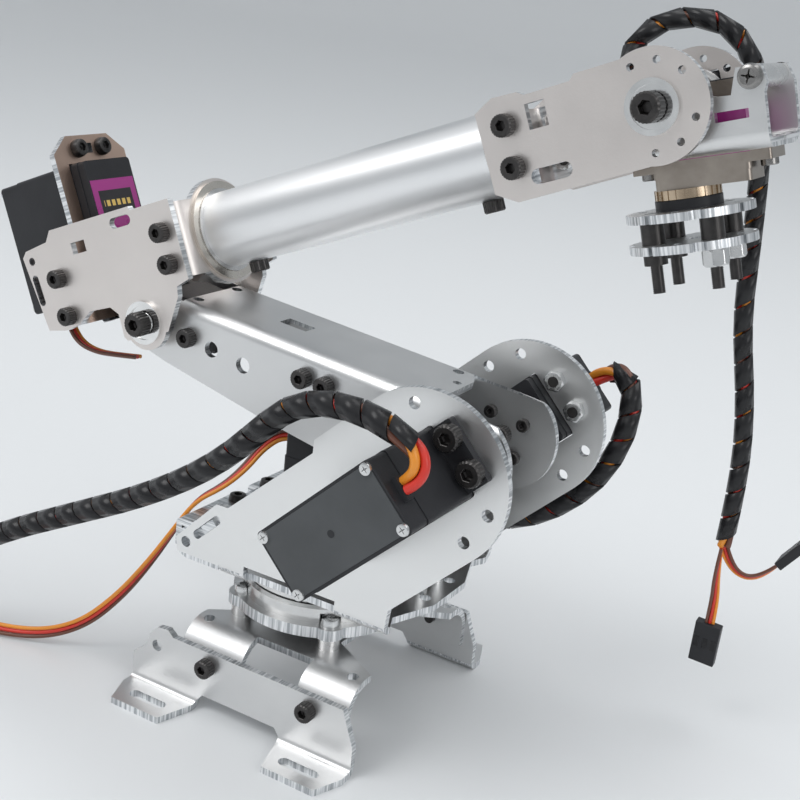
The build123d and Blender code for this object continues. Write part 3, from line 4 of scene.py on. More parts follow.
import bmesh
import bpy
from mathutils import Matrix, Vector
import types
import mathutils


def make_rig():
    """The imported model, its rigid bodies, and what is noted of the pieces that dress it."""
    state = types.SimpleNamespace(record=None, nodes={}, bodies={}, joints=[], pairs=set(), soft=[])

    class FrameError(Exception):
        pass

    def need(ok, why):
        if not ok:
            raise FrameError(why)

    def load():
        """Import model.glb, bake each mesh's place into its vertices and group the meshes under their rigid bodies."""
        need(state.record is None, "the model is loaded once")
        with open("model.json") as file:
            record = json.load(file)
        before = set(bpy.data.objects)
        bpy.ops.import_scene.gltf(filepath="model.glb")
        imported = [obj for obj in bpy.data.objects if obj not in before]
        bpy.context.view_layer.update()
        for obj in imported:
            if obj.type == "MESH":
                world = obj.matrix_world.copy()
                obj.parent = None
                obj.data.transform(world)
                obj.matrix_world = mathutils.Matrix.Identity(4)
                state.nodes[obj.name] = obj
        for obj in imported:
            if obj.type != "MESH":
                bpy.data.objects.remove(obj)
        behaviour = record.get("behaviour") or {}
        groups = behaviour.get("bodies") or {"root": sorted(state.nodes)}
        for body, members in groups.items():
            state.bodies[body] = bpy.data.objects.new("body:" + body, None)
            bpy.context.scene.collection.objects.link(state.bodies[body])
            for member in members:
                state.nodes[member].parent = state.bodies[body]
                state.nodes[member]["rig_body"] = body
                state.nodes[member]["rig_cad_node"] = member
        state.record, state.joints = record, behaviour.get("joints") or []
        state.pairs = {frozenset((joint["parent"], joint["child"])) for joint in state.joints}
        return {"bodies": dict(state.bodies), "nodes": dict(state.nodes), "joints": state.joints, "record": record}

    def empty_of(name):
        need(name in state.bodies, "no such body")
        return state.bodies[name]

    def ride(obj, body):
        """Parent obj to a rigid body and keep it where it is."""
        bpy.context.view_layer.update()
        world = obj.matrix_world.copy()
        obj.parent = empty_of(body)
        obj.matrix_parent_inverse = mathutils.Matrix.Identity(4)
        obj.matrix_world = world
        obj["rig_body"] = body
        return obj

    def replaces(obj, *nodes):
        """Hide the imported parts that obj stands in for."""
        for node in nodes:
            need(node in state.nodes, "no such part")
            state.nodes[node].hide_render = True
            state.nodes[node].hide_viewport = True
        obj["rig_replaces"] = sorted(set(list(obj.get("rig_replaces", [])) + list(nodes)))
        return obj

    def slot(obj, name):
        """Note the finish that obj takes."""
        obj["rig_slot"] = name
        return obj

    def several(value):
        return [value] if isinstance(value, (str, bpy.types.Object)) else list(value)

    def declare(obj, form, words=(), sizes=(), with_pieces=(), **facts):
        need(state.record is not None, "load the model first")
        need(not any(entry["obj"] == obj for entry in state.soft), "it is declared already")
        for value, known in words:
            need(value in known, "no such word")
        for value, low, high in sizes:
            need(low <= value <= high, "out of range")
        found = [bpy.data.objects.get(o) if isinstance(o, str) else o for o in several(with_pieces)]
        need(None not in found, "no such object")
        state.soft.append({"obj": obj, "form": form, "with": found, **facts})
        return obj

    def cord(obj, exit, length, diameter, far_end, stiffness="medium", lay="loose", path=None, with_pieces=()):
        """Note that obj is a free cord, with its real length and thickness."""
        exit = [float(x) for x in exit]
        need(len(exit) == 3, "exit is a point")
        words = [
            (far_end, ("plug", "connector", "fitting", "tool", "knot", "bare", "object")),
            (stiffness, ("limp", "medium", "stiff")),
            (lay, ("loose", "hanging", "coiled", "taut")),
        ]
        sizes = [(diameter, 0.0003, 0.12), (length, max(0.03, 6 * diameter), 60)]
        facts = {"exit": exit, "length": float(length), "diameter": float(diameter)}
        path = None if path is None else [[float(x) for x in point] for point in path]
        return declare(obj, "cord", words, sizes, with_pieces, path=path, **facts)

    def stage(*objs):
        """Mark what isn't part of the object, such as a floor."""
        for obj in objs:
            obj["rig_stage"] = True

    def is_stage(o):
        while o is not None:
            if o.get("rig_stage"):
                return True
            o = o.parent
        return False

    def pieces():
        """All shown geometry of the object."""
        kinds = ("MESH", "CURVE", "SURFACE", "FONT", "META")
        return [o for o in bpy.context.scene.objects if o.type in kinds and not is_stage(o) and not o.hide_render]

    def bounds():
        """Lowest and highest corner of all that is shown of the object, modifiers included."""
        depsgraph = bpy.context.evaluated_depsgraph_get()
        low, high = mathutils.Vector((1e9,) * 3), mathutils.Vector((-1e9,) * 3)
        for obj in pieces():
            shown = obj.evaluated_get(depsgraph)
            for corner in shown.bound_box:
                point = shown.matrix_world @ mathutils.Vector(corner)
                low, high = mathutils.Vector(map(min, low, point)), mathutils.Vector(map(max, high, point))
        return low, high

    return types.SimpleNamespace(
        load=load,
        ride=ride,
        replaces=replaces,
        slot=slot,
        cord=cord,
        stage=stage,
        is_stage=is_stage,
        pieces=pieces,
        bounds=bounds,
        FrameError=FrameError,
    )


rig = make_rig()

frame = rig.load()
cad_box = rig.bounds()

# The camera stands where the photographer stood, a little above the desk and left of the foot.
# Its place and lens were fitted to the servos, screws and plates, whose sizes are known.
MM = 0.001
CAMERA_PLACE = Vector((180.667, -292.726, 206.884)) * MM
VIEW_AZIMUTH = 0.498520
VIEW_ELEVATION = 0.324769
VIEW_ROLL = 0.108158
FRAME_PIXELS = 800
FOCAL_PIXELS = 1282.73
SENSOR_MM = 36.0

back = Vector((math.sin(VIEW_AZIMUTH) * math.cos(VIEW_ELEVATION),
               -math.cos(VIEW_AZIMUTH) * math.cos(VIEW_ELEVATION), math.sin(VIEW_ELEVATION)))
level = Vector((math.cos(VIEW_AZIMUTH), math.sin(VIEW_AZIMUTH), 0))
upright = back.cross(level)
right = math.cos(VIEW_ROLL) * level + math.sin(VIEW_ROLL) * upright
up = -math.sin(VIEW_ROLL) * level + math.cos(VIEW_ROLL) * upright
camera = bpy.data.objects.new("camera", bpy.data.cameras.new("camera"))
camera.data.sensor_width = SENSOR_MM
camera.data.lens = FOCAL_PIXELS / FRAME_PIXELS * SENSOR_MM
camera.data.clip_start = 0.01
camera.data.clip_end = 30
camera.matrix_world = Matrix.Translation(CAMERA_PLACE) @ Matrix((right, up, back)).transposed().to_4x4()
bpy.context.scene.collection.objects.link(camera)
bpy.context.scene.camera = camera
bpy.context.scene.view_settings.view_transform = "Standard"


# The desk is a plain pale board swept up into a backdrop, and the room a soft white studio.
# Shader nodes are put into a tree by one small function, which all the materials below use.
def put(tree, kind, sockets=None, **settings):
    node = tree.nodes.new(kind)
    for name, value in settings.items():
        setattr(node, name, value)
    for key, value in (sockets or {}).items():
        if isinstance(value, bpy.types.NodeSocket):
            tree.links.new(value, node.inputs[key])
        else:
            node.inputs[key].default_value = value
    return node


def finish(name, **plain):
    """A new material, its tree and its Principled shader with the plain values given."""
    material = bpy.data.materials.new(name)
    material.use_nodes = True
    shader = material.node_tree.nodes["Principled BSDF"]
    for label, value in plain.items():
        shader.inputs[label.replace("_", " ")].default_value = value
    return material, material.node_tree, shader


def link_piece(name, data, *materials):
    piece = bpy.data.objects.new(name, data)
    bpy.context.scene.collection.objects.link(piece)
    for material in materials:
        data.materials.append(material)
    return piece


SHARP_ANGLE = math.radians(28)


def link_mesh(name, made, *materials, shading="flat"):
    """A finished bmesh as an object, shaded flat, smooth, or crisp with its sharp edges kept."""
    mesh = bpy.data.meshes.new(name)
    made.to_mesh(mesh)
    made.free()
    if shading != "flat":
        mesh.shade_smooth()
    if shading == "crisp":
        mesh.set_sharp_from_angle(angle=SHARP_ANGLE)
    return link_piece(name, mesh, *materials)


DESK_WIDTH = 24.0
SWEEP_FROM, SWEEP_RADIUS = 3.0, 2.0
DESK_COLOUR = (0.74, 0.755, 0.765, 1)
desk_paint, tree, shader = finish("desk_board", Base_Color=DESK_COLOUR)
speckle = put(tree, "ShaderNodeTexNoise", {"Scale": 300.0, "Detail": 3.0})
tree.links.new(put(tree, "ShaderNodeTexCoord").outputs["Object"], speckle.inputs["Vector"])
rough = put(tree, "ShaderNodeMapRange", {"Value": speckle.outputs[0], "To Min": 0.36, "To Max": 0.5})
tree.links.new(rough.outputs[0], shader.inputs["Roughness"])
board = bmesh.new()
bmesh.ops.create_grid(board, x_segments=4, y_segments=90, size=DESK_WIDTH / 2)
quarter = SWEEP_RADIUS * math.pi / 2
for v in board.verts:
    run = v.co.y - SWEEP_FROM
    if run > 0:
        turn = min(run, quarter) / SWEEP_RADIUS
        v.co.y = SWEEP_FROM + SWEEP_RADIUS * math.sin(turn)
        v.co.z = SWEEP_RADIUS * (1 - math.cos(turn)) + max(0.0, run - quarter)
desk = link_mesh("desk", board, desk_paint, shading="smooth")
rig.stage(desk)

SKY = (0.86, 0.88, 0.90, 1)
HORIZON = (0.36, 0.38, 0.40, 1)
world = bpy.data.worlds.new("studio")
bpy.context.scene.world = world
world.use_nodes = True
tree = world.node_tree
height = put(tree, "ShaderNodeSeparateXYZ", {0: put(tree, "ShaderNodeTexCoord").outputs["Generated"]})
rise = put(tree, "ShaderNodeMapRange", {"Value": height.outputs["Z"], "From Min": -0.1, "From Max": 0.9})
air = put(tree, "ShaderNodeMix", {0: rise.outputs[0], 6: HORIZON, 7: SKY}, data_type="RGBA")
tree.links.new(air.outputs[2], tree.nodes["Background"].inputs["Color"])
tree.nodes["Background"].inputs["Strength"].default_value = 0.95

LAMPS = {"key_lamp": ((-0.55, -0.75, 1.15), 0.75, 7.5), "top_lamp": ((0.35, 0.45, 1.25), 0.9, 5.0),
         "side_lamp": ((1.05, -0.35, 0.55), 0.5, 2.0)}
LAMP_AIM = Vector((0, 0, 0.09))
for name, (place, width, watts) in LAMPS.items():
    lamp = bpy.data.objects.new(name, bpy.data.lights.new(name, "AREA"))
    lamp.data.size = width
    lamp.data.energy = watts
    lamp.location = place
    lamp.rotation_euler = (LAMP_AIM - Vector(place)).to_track_quat("-Z", "Y").to_euler()
    bpy.context.scene.collection.objects.link(lamp)


# Foot brackets and base plate: 2 mm aluminium sheet, cut by laser, bent, and left bare.
# Its faces have a fine rolled satin, and its cut edges the bright ribs that the beam leaves.
def group(name, inputs, outputs):
    tree = bpy.data.node_groups.new(name, "ShaderNodeTree")
    for label, kind, value in inputs:
        tree.interface.new_socket(label, in_out="INPUT", socket_type="NodeSocket" + kind)
        tree.interface.items_tree[label].default_value = value
    for label, kind in outputs:
        tree.interface.new_socket(label, in_out="OUTPUT", socket_type="NodeSocket" + kind)
    return tree, put(tree, "NodeGroupInput"), put(tree, "NodeGroupOutput")


def use(tree, shared, **inputs):
    node = put(tree, "ShaderNodeGroup", node_tree=shared)
    for label, value in inputs.items():
        socket = node.inputs[label.replace("_", " ")]
        if isinstance(value, bpy.types.NodeSocket):
            tree.links.new(value, socket)
        else:
            socket.default_value = value
    return node


def dot(tree, a, b):
    return put(tree, "ShaderNodeVectorMath", {0: a, 1: b}, operation="DOT_PRODUCT").outputs["Value"]


def math_node(tree, operation, a, b=0.0):
    return put(tree, "ShaderNodeMath", {0: a, 1: b}, operation=operation).outputs[0]


Y_WAY = (0.0, 1.0, 0.0)
Z_WAY = (0.0, 0.0, 1.0)

cut_edge, given, result = group(
    "laser cut edge", [("Face Way", "Vector", Y_WAY), ("Lip Way", "Vector", Z_WAY), ("Lip", "Float", 0.0)],
    [("Edge", "Float")])
outward = put(cut_edge, "ShaderNodeTexCoord").outputs["Normal"]
on_face = math_node(cut_edge, "ABSOLUTE", dot(cut_edge, outward, given.outputs["Face Way"]))
on_lip = math_node(cut_edge, "ABSOLUTE", dot(cut_edge, outward, given.outputs["Lip Way"]))
flat = put(cut_edge, "ShaderNodeMix", {0: given.outputs["Lip"], 2: on_face, 3: on_lip}).outputs[0]
edge = put(cut_edge, "ShaderNodeMapRange", {"Value": flat, "From Min": 0.45, "From Max": 0.7, "To Min": 1.0,
                                            "To Max": 0.0})
cut_edge.links.new(edge.outputs[0], result.inputs["Edge"])

rib_marks, given, result = group(
    "beam ribs", [("Through Way", "Vector", Y_WAY), ("Scale", "Float", 1500.0)], [("Rib", "Float")])
spot = put(rib_marks, "ShaderNodeTexCoord").outputs["Object"]
deep = dot(rib_marks, spot, given.outputs["Through Way"])
deep = put(rib_marks, "ShaderNodeVectorMath", {0: given.outputs["Through Way"], "Scale": deep},
           operation="SCALE").outputs[0]
deep = put(rib_marks, "ShaderNodeVectorMath", {0: deep, "Scale": 0.96}, operation="SCALE").outputs[0]
spot = put(rib_marks, "ShaderNodeVectorMath", {0: spot, 1: deep}, operation="SUBTRACT").outputs[0]
ribs = put(rib_marks, "ShaderNodeTexNoise", {"Vector": spot, "Scale": given.outputs["Scale"], "Detail": 1.5})
ribs = put(rib_marks, "ShaderNodeMapRange", {"Value": ribs.outputs[0], "From Min": 0.36, "From Max": 0.64})
rib_marks.links.new(ribs.outputs[0], result.inputs["Rib"])

rolled_satin, given, result = group(
    "rolled satin", [("Grain Scale", "Float", 1800.0), ("Cloud Scale", "Float", 28.0)],
    [("Grain", "Float"), ("Cloud", "Float")])
spot = put(rolled_satin, "ShaderNodeTexCoord").outputs["Object"]
grain = put(rolled_satin, "ShaderNodeTexNoise",
            {"Vector": spot, "Scale": given.outputs["Grain Scale"], "Detail": 3.0, "Roughness": 0.6})
cloud = put(rolled_satin, "ShaderNodeTexNoise",
            {"Vector": spot, "Scale": given.outputs["Cloud Scale"], "Detail": 4.0, "Roughness": 0.55})
rolled_satin.links.new(grain.outputs[0], result.inputs["Grain"])
rolled_satin.links.new(cloud.outputs[0], result.inputs["Cloud"])

SHEET_DARK = (0.60, 0.605, 0.61, 1)
SHEET_LIGHT = (0.80, 0.80, 0.795, 1)
RIB_DARK = (0.42, 0.44, 0.46, 1)
RIB_LIGHT = (0.92, 0.93, 0.94, 1)


def sheet_metal(name, face_way=Y_WAY, lip_way=Z_WAY, lip_where=None, light=SHEET_LIGHT, dark=SHEET_DARK):
    """Bare sheet, its faces across face_way; lip_where gives the bent part across lip_way."""
    material, tree, shader = finish(name, Metallic=1.0)
    lip = lip_where(tree) if lip_where else 0.0
    edge = use(tree, cut_edge, Face_Way=face_way, Lip_Way=lip_way, Lip=lip).outputs[0]
    through = put(tree, "ShaderNodeMix", {0: lip, 4: face_way, 5: lip_way}, data_type="VECTOR").outputs[1]
    rib = use(tree, rib_marks, Through_Way=through).outputs[0]
    satin = use(tree, rolled_satin)
    face = put(tree, "ShaderNodeMix", {0: satin.outputs["Cloud"], 6: dark, 7: light}, data_type="RGBA")
    cut = put(tree, "ShaderNodeMix", {0: rib, 6: RIB_DARK, 7: RIB_LIGHT}, data_type="RGBA")
    colour = put(tree, "ShaderNodeMix", {0: edge, 6: face.outputs[2], 7: cut.outputs[2]}, data_type="RGBA")
    tree.links.new(colour.outputs[2], shader.inputs["Base Color"])
    smooth = put(tree, "ShaderNodeMapRange", {"Value": satin.outputs["Cloud"], "From Min": 0.3,
                                              "From Max": 0.7, "To Min": 0.30, "To Max": 0.44})
    rough = put(tree, "ShaderNodeMix", {0: edge, 2: smooth.outputs[0], 3: 0.36})
    tree.links.new(rough.outputs[0], shader.inputs["Roughness"])
    relief = put(tree, "ShaderNodeMix", {0: edge, 2: satin.outputs["Grain"], 3: rib})
    bump = put(tree, "ShaderNodeBump", {"Strength": 0.25, "Distance": 0.00012, "Height": relief.outputs[0]})
    tree.links.new(bump.outputs[0], shader.inputs["Normal"])
    return material


def dress(material, *nodes):
    for node in nodes:
        data = frame["nodes"][node].data
        data.materials.clear()
        data.materials.append(material)


def beyond(point, way):
    """1 on the side of a plane through the point that the way looks to."""
    def where(tree):
        spot = put(tree, "ShaderNodeTexCoord").outputs["Object"]
        return math_node(tree, "GREATER_THAN", dot(tree, spot, tuple(way)), Vector(point).dot(way))
    return where


SHEET = 2.0 * MM
BASE_BEND_Z = 22.0 * MM
dress(sheet_metal("foot_sheet", face_way=Z_WAY, lip_way=Y_WAY,
                  lip_where=beyond((0, 0, SHEET + 0.6 * MM), Z_WAY)),
      "foot_bracket_front", "foot_bracket_rear")
dress(sheet_metal("base_sheet", face_way=Z_WAY, lip_way=Y_WAY,
                  lip_where=beyond((0, 0, BASE_BEND_Z), (0.0, 0.0, -1.0))),
      "base_plate")


# Screws: M3 and M4 cap screws of black oxide steel, with knurled heads and hexagon sockets.
# Each group stands where its CAD solids are, so that heads, nuts and shanks keep their places.
HEAD_SIDES = 48
SHANK_SIDES = 20
THREAD_RADIUS = 1.5 * MM
NUT_POINTS = 24


def radial(verts, shape):
    """Moves points round the z axis to the radius that shape gives for their angle."""
    for v in verts:
        angle = math.atan2(v.co.y, v.co.x)
        r = shape(angle)
        v.co.x = r * math.cos(angle)
        v.co.y = r * math.sin(angle)


def hexagon(apothem):
    sixth = math.pi / 3
    return lambda angle: apothem / math.cos((angle % sixth) - sixth / 2)


def cross(reach):
    return lambda angle: reach * (0.34 + 0.66 * max(0.0, math.cos(4 * angle)) ** 2)


def cap_head(radius, height, socket):
    """A screw head standing on z = 0, socket up, knurled if it is a tall one."""
    head = bmesh.new()
    bmesh.ops.create_cone(head, cap_ends=True, segments=HEAD_SIDES, radius1=radius, radius2=radius,
                          depth=height, matrix=Matrix.Translation((0, 0, height / 2)))
    tall = height > 0.8 * radius
    if tall:
        notch = [v for v in head.verts if round(math.degrees(math.atan2(v.co.y, v.co.x)) / 7.5) % 2]
        radial(notch, lambda angle: 0.955 * radius)
    head.faces.ensure_lookup_table()
    top = max(head.faces, key=lambda f: f.calc_center_median().z)
    rim = list(top.verts)
    bmesh.ops.inset_individual(head, faces=[top], thickness=0.13 * radius)
    for v in rim:
        v.co.z -= (0.13 if tall else 0.45) * radius
    if not tall:
        bmesh.ops.inset_individual(head, faces=[top], thickness=0.2 * radius)
        for v in top.verts:
            v.co.z += 0.08 * radius
    bmesh.ops.inset_individual(head, faces=[top], thickness=0.25 * radius)
    radial(top.verts, hexagon(0.45 * radius) if socket == "hex" else cross(0.6 * radius))
    bmesh.ops.inset_individual(head, faces=[top], thickness=0.03 * radius, depth=-0.03 * radius)
    deep = bmesh.ops.extrude_discrete_faces(head, faces=[top])["faces"][0]
    for v in deep.verts:
        v.co.z -= 0.5 * height
    bmesh.ops.inset_individual(head, faces=[deep], thickness=0.1 * radius, depth=-0.1 * radius)
    return head


def hex_nut(radius, height, bore):
    """A chamfered nut standing on z = 0, its bore open."""
    nut = bmesh.new()
    apothem = radius * math.cos(math.pi / 6)
    bmesh.ops.create_cone(nut, cap_ends=True, segments=HEAD_SIDES, radius1=radius, radius2=radius,
                          depth=height, matrix=Matrix.Translation((0, 0, height / 2)))
    radial(nut.verts, hexagon(apothem))
    for end in (1, -1):
        nut.faces.ensure_lookup_table()
        cap = max(nut.faces, key=lambda f: end * f.calc_center_median().z)
        for v in cap.verts:
            corner = math.hypot(v.co.x, v.co.y) / apothem - 0.97
            v.co.z -= end * height * 0.9 * max(0.0, corner)
        bmesh.ops.inset_individual(nut, faces=[cap], thickness=0.05 * radius)
        for v in cap.verts:
            v.co.z = height if end > 0 else 0.0
        radial(cap.verts, lambda angle: 0.94 * apothem)
        bmesh.ops.inset_individual(nut, faces=[cap], thickness=0.2 * radius)
        radial(cap.verts, lambda angle: 1.04 * bore)
        bmesh.ops.inset_individual(nut, faces=[cap], thickness=0.02 * radius, depth=-0.12 * height)
    return nut


def shank(radius, length, thread=0.0):
    """A shank from z = 0 down; with a thread pitch it has the ridges of a rolled thread."""
    made = bmesh.new()
    step = thread / 2 if thread else length
    count = max(1, round(length / step))
    circle = bmesh.ops.create_circle(made, cap_ends=True, segments=SHANK_SIDES, radius=radius)["verts"]
    face = next(iter(made.faces))
    for k in range(count):
        face = bmesh.ops.extrude_discrete_faces(made, faces=[face])["faces"][0]
        for v in face.verts:
            v.co.z = -length * (k + 1) / count
        radial(face.verts, lambda angle: radius * (0.88 if thread and k % 2 == 0 else 1.0))
    bmesh.ops.contextual_create(made, geom=circle)
    bmesh.ops.recalc_face_normals(made, faces=made.faces)
    return made


def stamp(body, tool, place, slot=0):
    """Adds a finished little mesh to a bigger one, in its place and material slot."""
    tool.transform(place)
    for face in tool.faces:
        face.material_index = slot
    print_mesh = bpy.data.meshes.new("stamp")
    tool.to_mesh(print_mesh)
    body.from_mesh(print_mesh)
    bpy.data.meshes.remove(print_mesh)
    tool.free()


def solids_of(node):
    """The separate solids of a CAD node, each a merged mesh of its own."""
    whole = bmesh.new()
    whole.from_mesh(frame["nodes"][node].data)
    bmesh.ops.remove_doubles(whole, verts=whole.verts, dist=1e-6)
    left = set(whole.verts)
    while left:
        island = set()
        front = [left.pop()]
        while front:
            v = front.pop()
            island.add(v)
            near = {e.other_vert(v) for e in v.link_edges} & left
            left -= near
            front.extend(near)
        keep = {v.index for v in island}
        piece = whole.copy()
        piece.verts.ensure_lookup_table()
        bmesh.ops.delete(piece, geom=[v for v in piece.verts if v.index not in keep], context="VERTS")
        yield piece
    whole.free()


def measure(solid, ways):
    """The axis of a turned solid, its middle, and each point's height and distance on that axis."""
    best = None
    for way in ways:
        turn = way.to_track_quat("Z", "Y").to_matrix()
        spots = [turn.transposed() @ v.co for v in solid.verts]
        low = [min(p[i] for p in spots) for i in range(3)]
        high = [max(p[i] for p in spots) for i in range(3)]
        wide, tall = high[0] - low[0], high[1] - low[1]
        skew = abs(wide - tall) / max(wide, tall)
        if best is None or skew < best[0]:
            middle = Vector(((low[0] + high[0]) / 2, (low[1] + high[1]) / 2, 0))
            reach = [(p.z, math.hypot(p.x - middle.x, p.y - middle.y)) for p in spots]
            best = (skew, turn, middle, reach)
    return best[1:]


def fasteners(name, node, ways, body, socket="hex", metals=None, thread=0.0):
    """Screws, nuts and spacers in place of a node of plain turned solids.

    A solid that is wider at one end is a screw, a short one with a wide bore is a nut, and a long
    one in a threaded group is a bolt with a round collar or a nut on it. Others are left plain.
    """
    made = bmesh.new()
    for solid in solids_of(node):
        turn, middle, reach = measure(solid, ways)
        low, high = min(z for z, r in reach), max(z for z, r in reach)
        widest = max(r for z, r in reach)
        narrow = min(r for z, r in reach)
        low_r = max(r for z, r in reach if z < low + 1e-5)
        high_r = max(r for z, r in reach if z > high - 1e-5)
        place = turn.to_4x4() @ Matrix.Translation(middle)
        if abs(low_r - high_r) > 0.1 * widest:
            head_up = high_r > low_r
            flip = Matrix.Identity(4) if head_up else Matrix.Rotation(math.pi, 4, "X")
            wide = [z for z, r in reach if r > 0.9 * widest]
            seat = min(wide) if head_up else max(wide)
            height = (high - seat) if head_up else (seat - low)
            there = place @ Matrix.Translation((0, 0, seat)) @ flip
            stamp(made, cap_head(widest, height, socket), there)
            stamp(made, shank(min(low_r, high_r), high - low - height, thread), there)
        elif high - low < 0.95 * widest and narrow < 0.7 * widest:
            stamp(made, hex_nut(widest, high - low, narrow), place @ Matrix.Translation((0, 0, low)), 1)
        elif thread and high - low > 3 * widest:
            stamp(made, shank(THREAD_RADIUS, high - low, thread), place @ Matrix.Translation((0, 0, high)))
            wide = [z for z, r in reach if r > 0.95 * widest]
            there = place @ Matrix.Translation((0, 0, min(wide)))
            height = max(wide) - min(wide)
            if widest > 1.2 * THREAD_RADIUS and len(wide) > NUT_POINTS:
                stamp(made, cap_head(widest, height, "hex"), there)
            elif widest > 1.2 * THREAD_RADIUS:
                stamp(made, hex_nut(widest, height, THREAD_RADIUS), there, 1)
        else:
            stamp(made, solid.copy(), Matrix.Identity(4), 0 if thread else 1)
        solid.free()
    piece = link_mesh(name, made, *(metals or (black_oxide, zinc_plate)), shading="crisp")
    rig.replaces(piece, node)
    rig.ride(piece, body)
    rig.slot(piece, "black_screws")


def polish(tree, shader, dark, light, rough, grain=1800.0, cloud=28.0, relief=None, rough_by="Cloud"):
    """Clouds of two tones and of a roughness between two values, over the fine grain of the skin.

    relief is the strength and the depth in metres of that grain.
    """
    satin = use(tree, rolled_satin, Grain_Scale=grain, Cloud_Scale=cloud)
    tone = put(tree, "ShaderNodeMix", {0: satin.outputs["Cloud"], 6: dark, 7: light}, data_type="RGBA")
    tree.links.new(tone.outputs[2], shader.inputs["Base Color"])
    spread = put(tree, "ShaderNodeMapRange",
                 {"Value": satin.outputs[rough_by], "To Min": rough[0], "To Max": rough[1]})
    tree.links.new(spread.outputs[0], shader.inputs["Roughness"])
    if relief:
        bump = put(tree, "ShaderNodeBump",
                   {"Strength": relief[0], "Distance": relief[1], "Height": satin.outputs["Grain"]})
        tree.links.new(bump.outputs[0], shader.inputs["Normal"])


black_oxide, tree, shader = finish("black_oxide", Metallic=0.8)
polish(tree, shader, (0.030, 0.029, 0.029, 1), (0.085, 0.080, 0.078, 1), (0.22, 0.42), grain=2600.0,
       cloud=420.0, relief=(0.15, 0.00005))


def turned_metal(name, dark, light, low=0.18, high=0.34):
    """Turned or plated metal with a fine uneven polish."""
    material, tree, shader = finish(name, Metallic=1.0)
    polish(tree, shader, dark, light, (low, high), grain=2400.0, cloud=180.0, relief=(0.12, 0.00006))
    return material


zinc_plate = turned_metal("zinc_plate", (0.55, 0.56, 0.57, 1), (0.78, 0.78, 0.77, 1))
joint = {j["name"]: j for j in frame["joints"]}
X, Y, Z = Vector((1, 0, 0)), Vector((0, 1, 0)), Vector((0, 0, 1))
fasteners("foot_screws", "foot_bracket_screws", [Y], "base")


# Turntable: a slotted disc on four standoffs, the two rings of a ball race, and the servo's horn.
# The disc is laser cut like the plates; rings and standoffs are turned and brighter.
dress(sheet_metal("disc_sheet", face_way=Z_WAY), "turntable_disc")
dress(turned_metal("race_steel", (0.55, 0.55, 0.55, 1), (0.88, 0.88, 0.87, 1), low=0.1, high=0.24),
      "turntable_lower_race", "turntable_upper_race")
turned_alloy = turned_metal("turned_alloy", (0.58, 0.58, 0.58, 1), (0.80, 0.79, 0.78, 1))
dress(turned_alloy, "turntable_standoffs", "waist_servo_horn")
fasteners("lug_screws", "turntable_lug_screws", [Z], "base", metals=(zinc_plate, zinc_plate))


# Turret: one sheet bent to a U, whose cheeks carry the shoulder servos, and a cross plate behind.
# The front cheek faces the key lamp in the photograph and is nearly white there.
SHOULDER, ELBOW, WRIST = (Vector(joint[name]["pos_m"]) for name in
                          ("shoulder_pitch", "elbow_pitch", "wrist_pitch"))
FLOOR_BEND_Z = 44.0 * MM
# Painted highlight: the whole bracket is painted lighter than bare sheet, for the key lamp's light on its front cheek.
CHEEK_PAINTED_HIGHLIGHT_LIGHT = (0.90, 0.90, 0.89, 1)
CHEEK_PAINTED_HIGHLIGHT_DARK = (0.74, 0.745, 0.745, 1)
dress(sheet_metal("turret_sheet_painted_highlight", face_way=Y_WAY, lip_way=Z_WAY, light=CHEEK_PAINTED_HIGHLIGHT_LIGHT, dark=CHEEK_PAINTED_HIGHLIGHT_DARK,
                  lip_where=beyond((0, 0, FLOOR_BEND_Z), (0.0, 0.0, -1.0))), "turret_bracket")
dress(sheet_metal("cross_sheet", face_way=(1.0, 0.0, 0.0)), "turret_cross_plate")
fasteners("turret_fixings", "turret_screws", [X, Y, Z], "turret")
fasteners("waist_servo_screws", "waist_servo_fixings", [Z], "turret")


# Servos: fibre-filled black cases in three shells, held by four long Phillips screws each.
# The cover of the front shoulder servo faces the key lamp and is painted grey, a painted sheen on its black; its mould
# left a dimple in the middle.
def tilted(origin, degrees):
    """The frame of a link: its x way turned about Y as the solids are."""
    return Matrix.Translation(origin) @ Matrix.Rotation(math.radians(degrees), 4, "Y")


def facing(place, origin, x_way, z_way):
    """A frame inside another, from its x and z ways; origin in millimetres."""
    x, z = Vector(x_way).normalized(), Vector(z_way).normalized()
    turn = Matrix((x, z.cross(x), z)).transposed().to_4x4()
    return place @ Matrix.Translation(Vector(origin) * MM) @ turn


ARM_RISE, FORE_RISE, WRIST_RISE, SERVO_TILT = 8.9, 22.86, 16.8, 44.2
arm = tilted(SHOULDER, ARM_RISE)
fore = tilted(ELBOW, -FORE_RISE)
fork = tilted(WRIST, -FORE_RISE)
hand = tilted(WRIST, -WRIST_RISE)
SHOULDER_X, CHEEK_OUT_Y, SHOULDER_Z = 47.2, 31.15, 88.25
WAIST_X, WAIST_SEAT_Z = 1.4, 50.65
ROLL_SEAT_X, ROLL_AXIS_Z = -24.8, 20
FORK_SEAT_Y = 17.4
TOOL_SEAT_Z = -14.9
BIG_CASE = (10.2, 30.2, 10.0, -29.2)
SMALL_CASE = (6.0, 16.8, 6.1, -18.4)
tilt_way = (math.cos(math.radians(SERVO_TILT)), 0, math.sin(math.radians(SERVO_TILT)))
row = Matrix.Identity(4)


def moulded(name, dark, light, low=0.34, high=0.55, grain=900.0, relief=0.35):
    """Black plastic with the fine spark-eroded grain of its mould, rubbed here and there."""
    material, tree, shader = finish(name, Specular_IOR_Level=0.3)
    polish(tree, shader, dark, light, (low, high), grain=grain, cloud=60.0, relief=(relief, 0.00012))
    return material


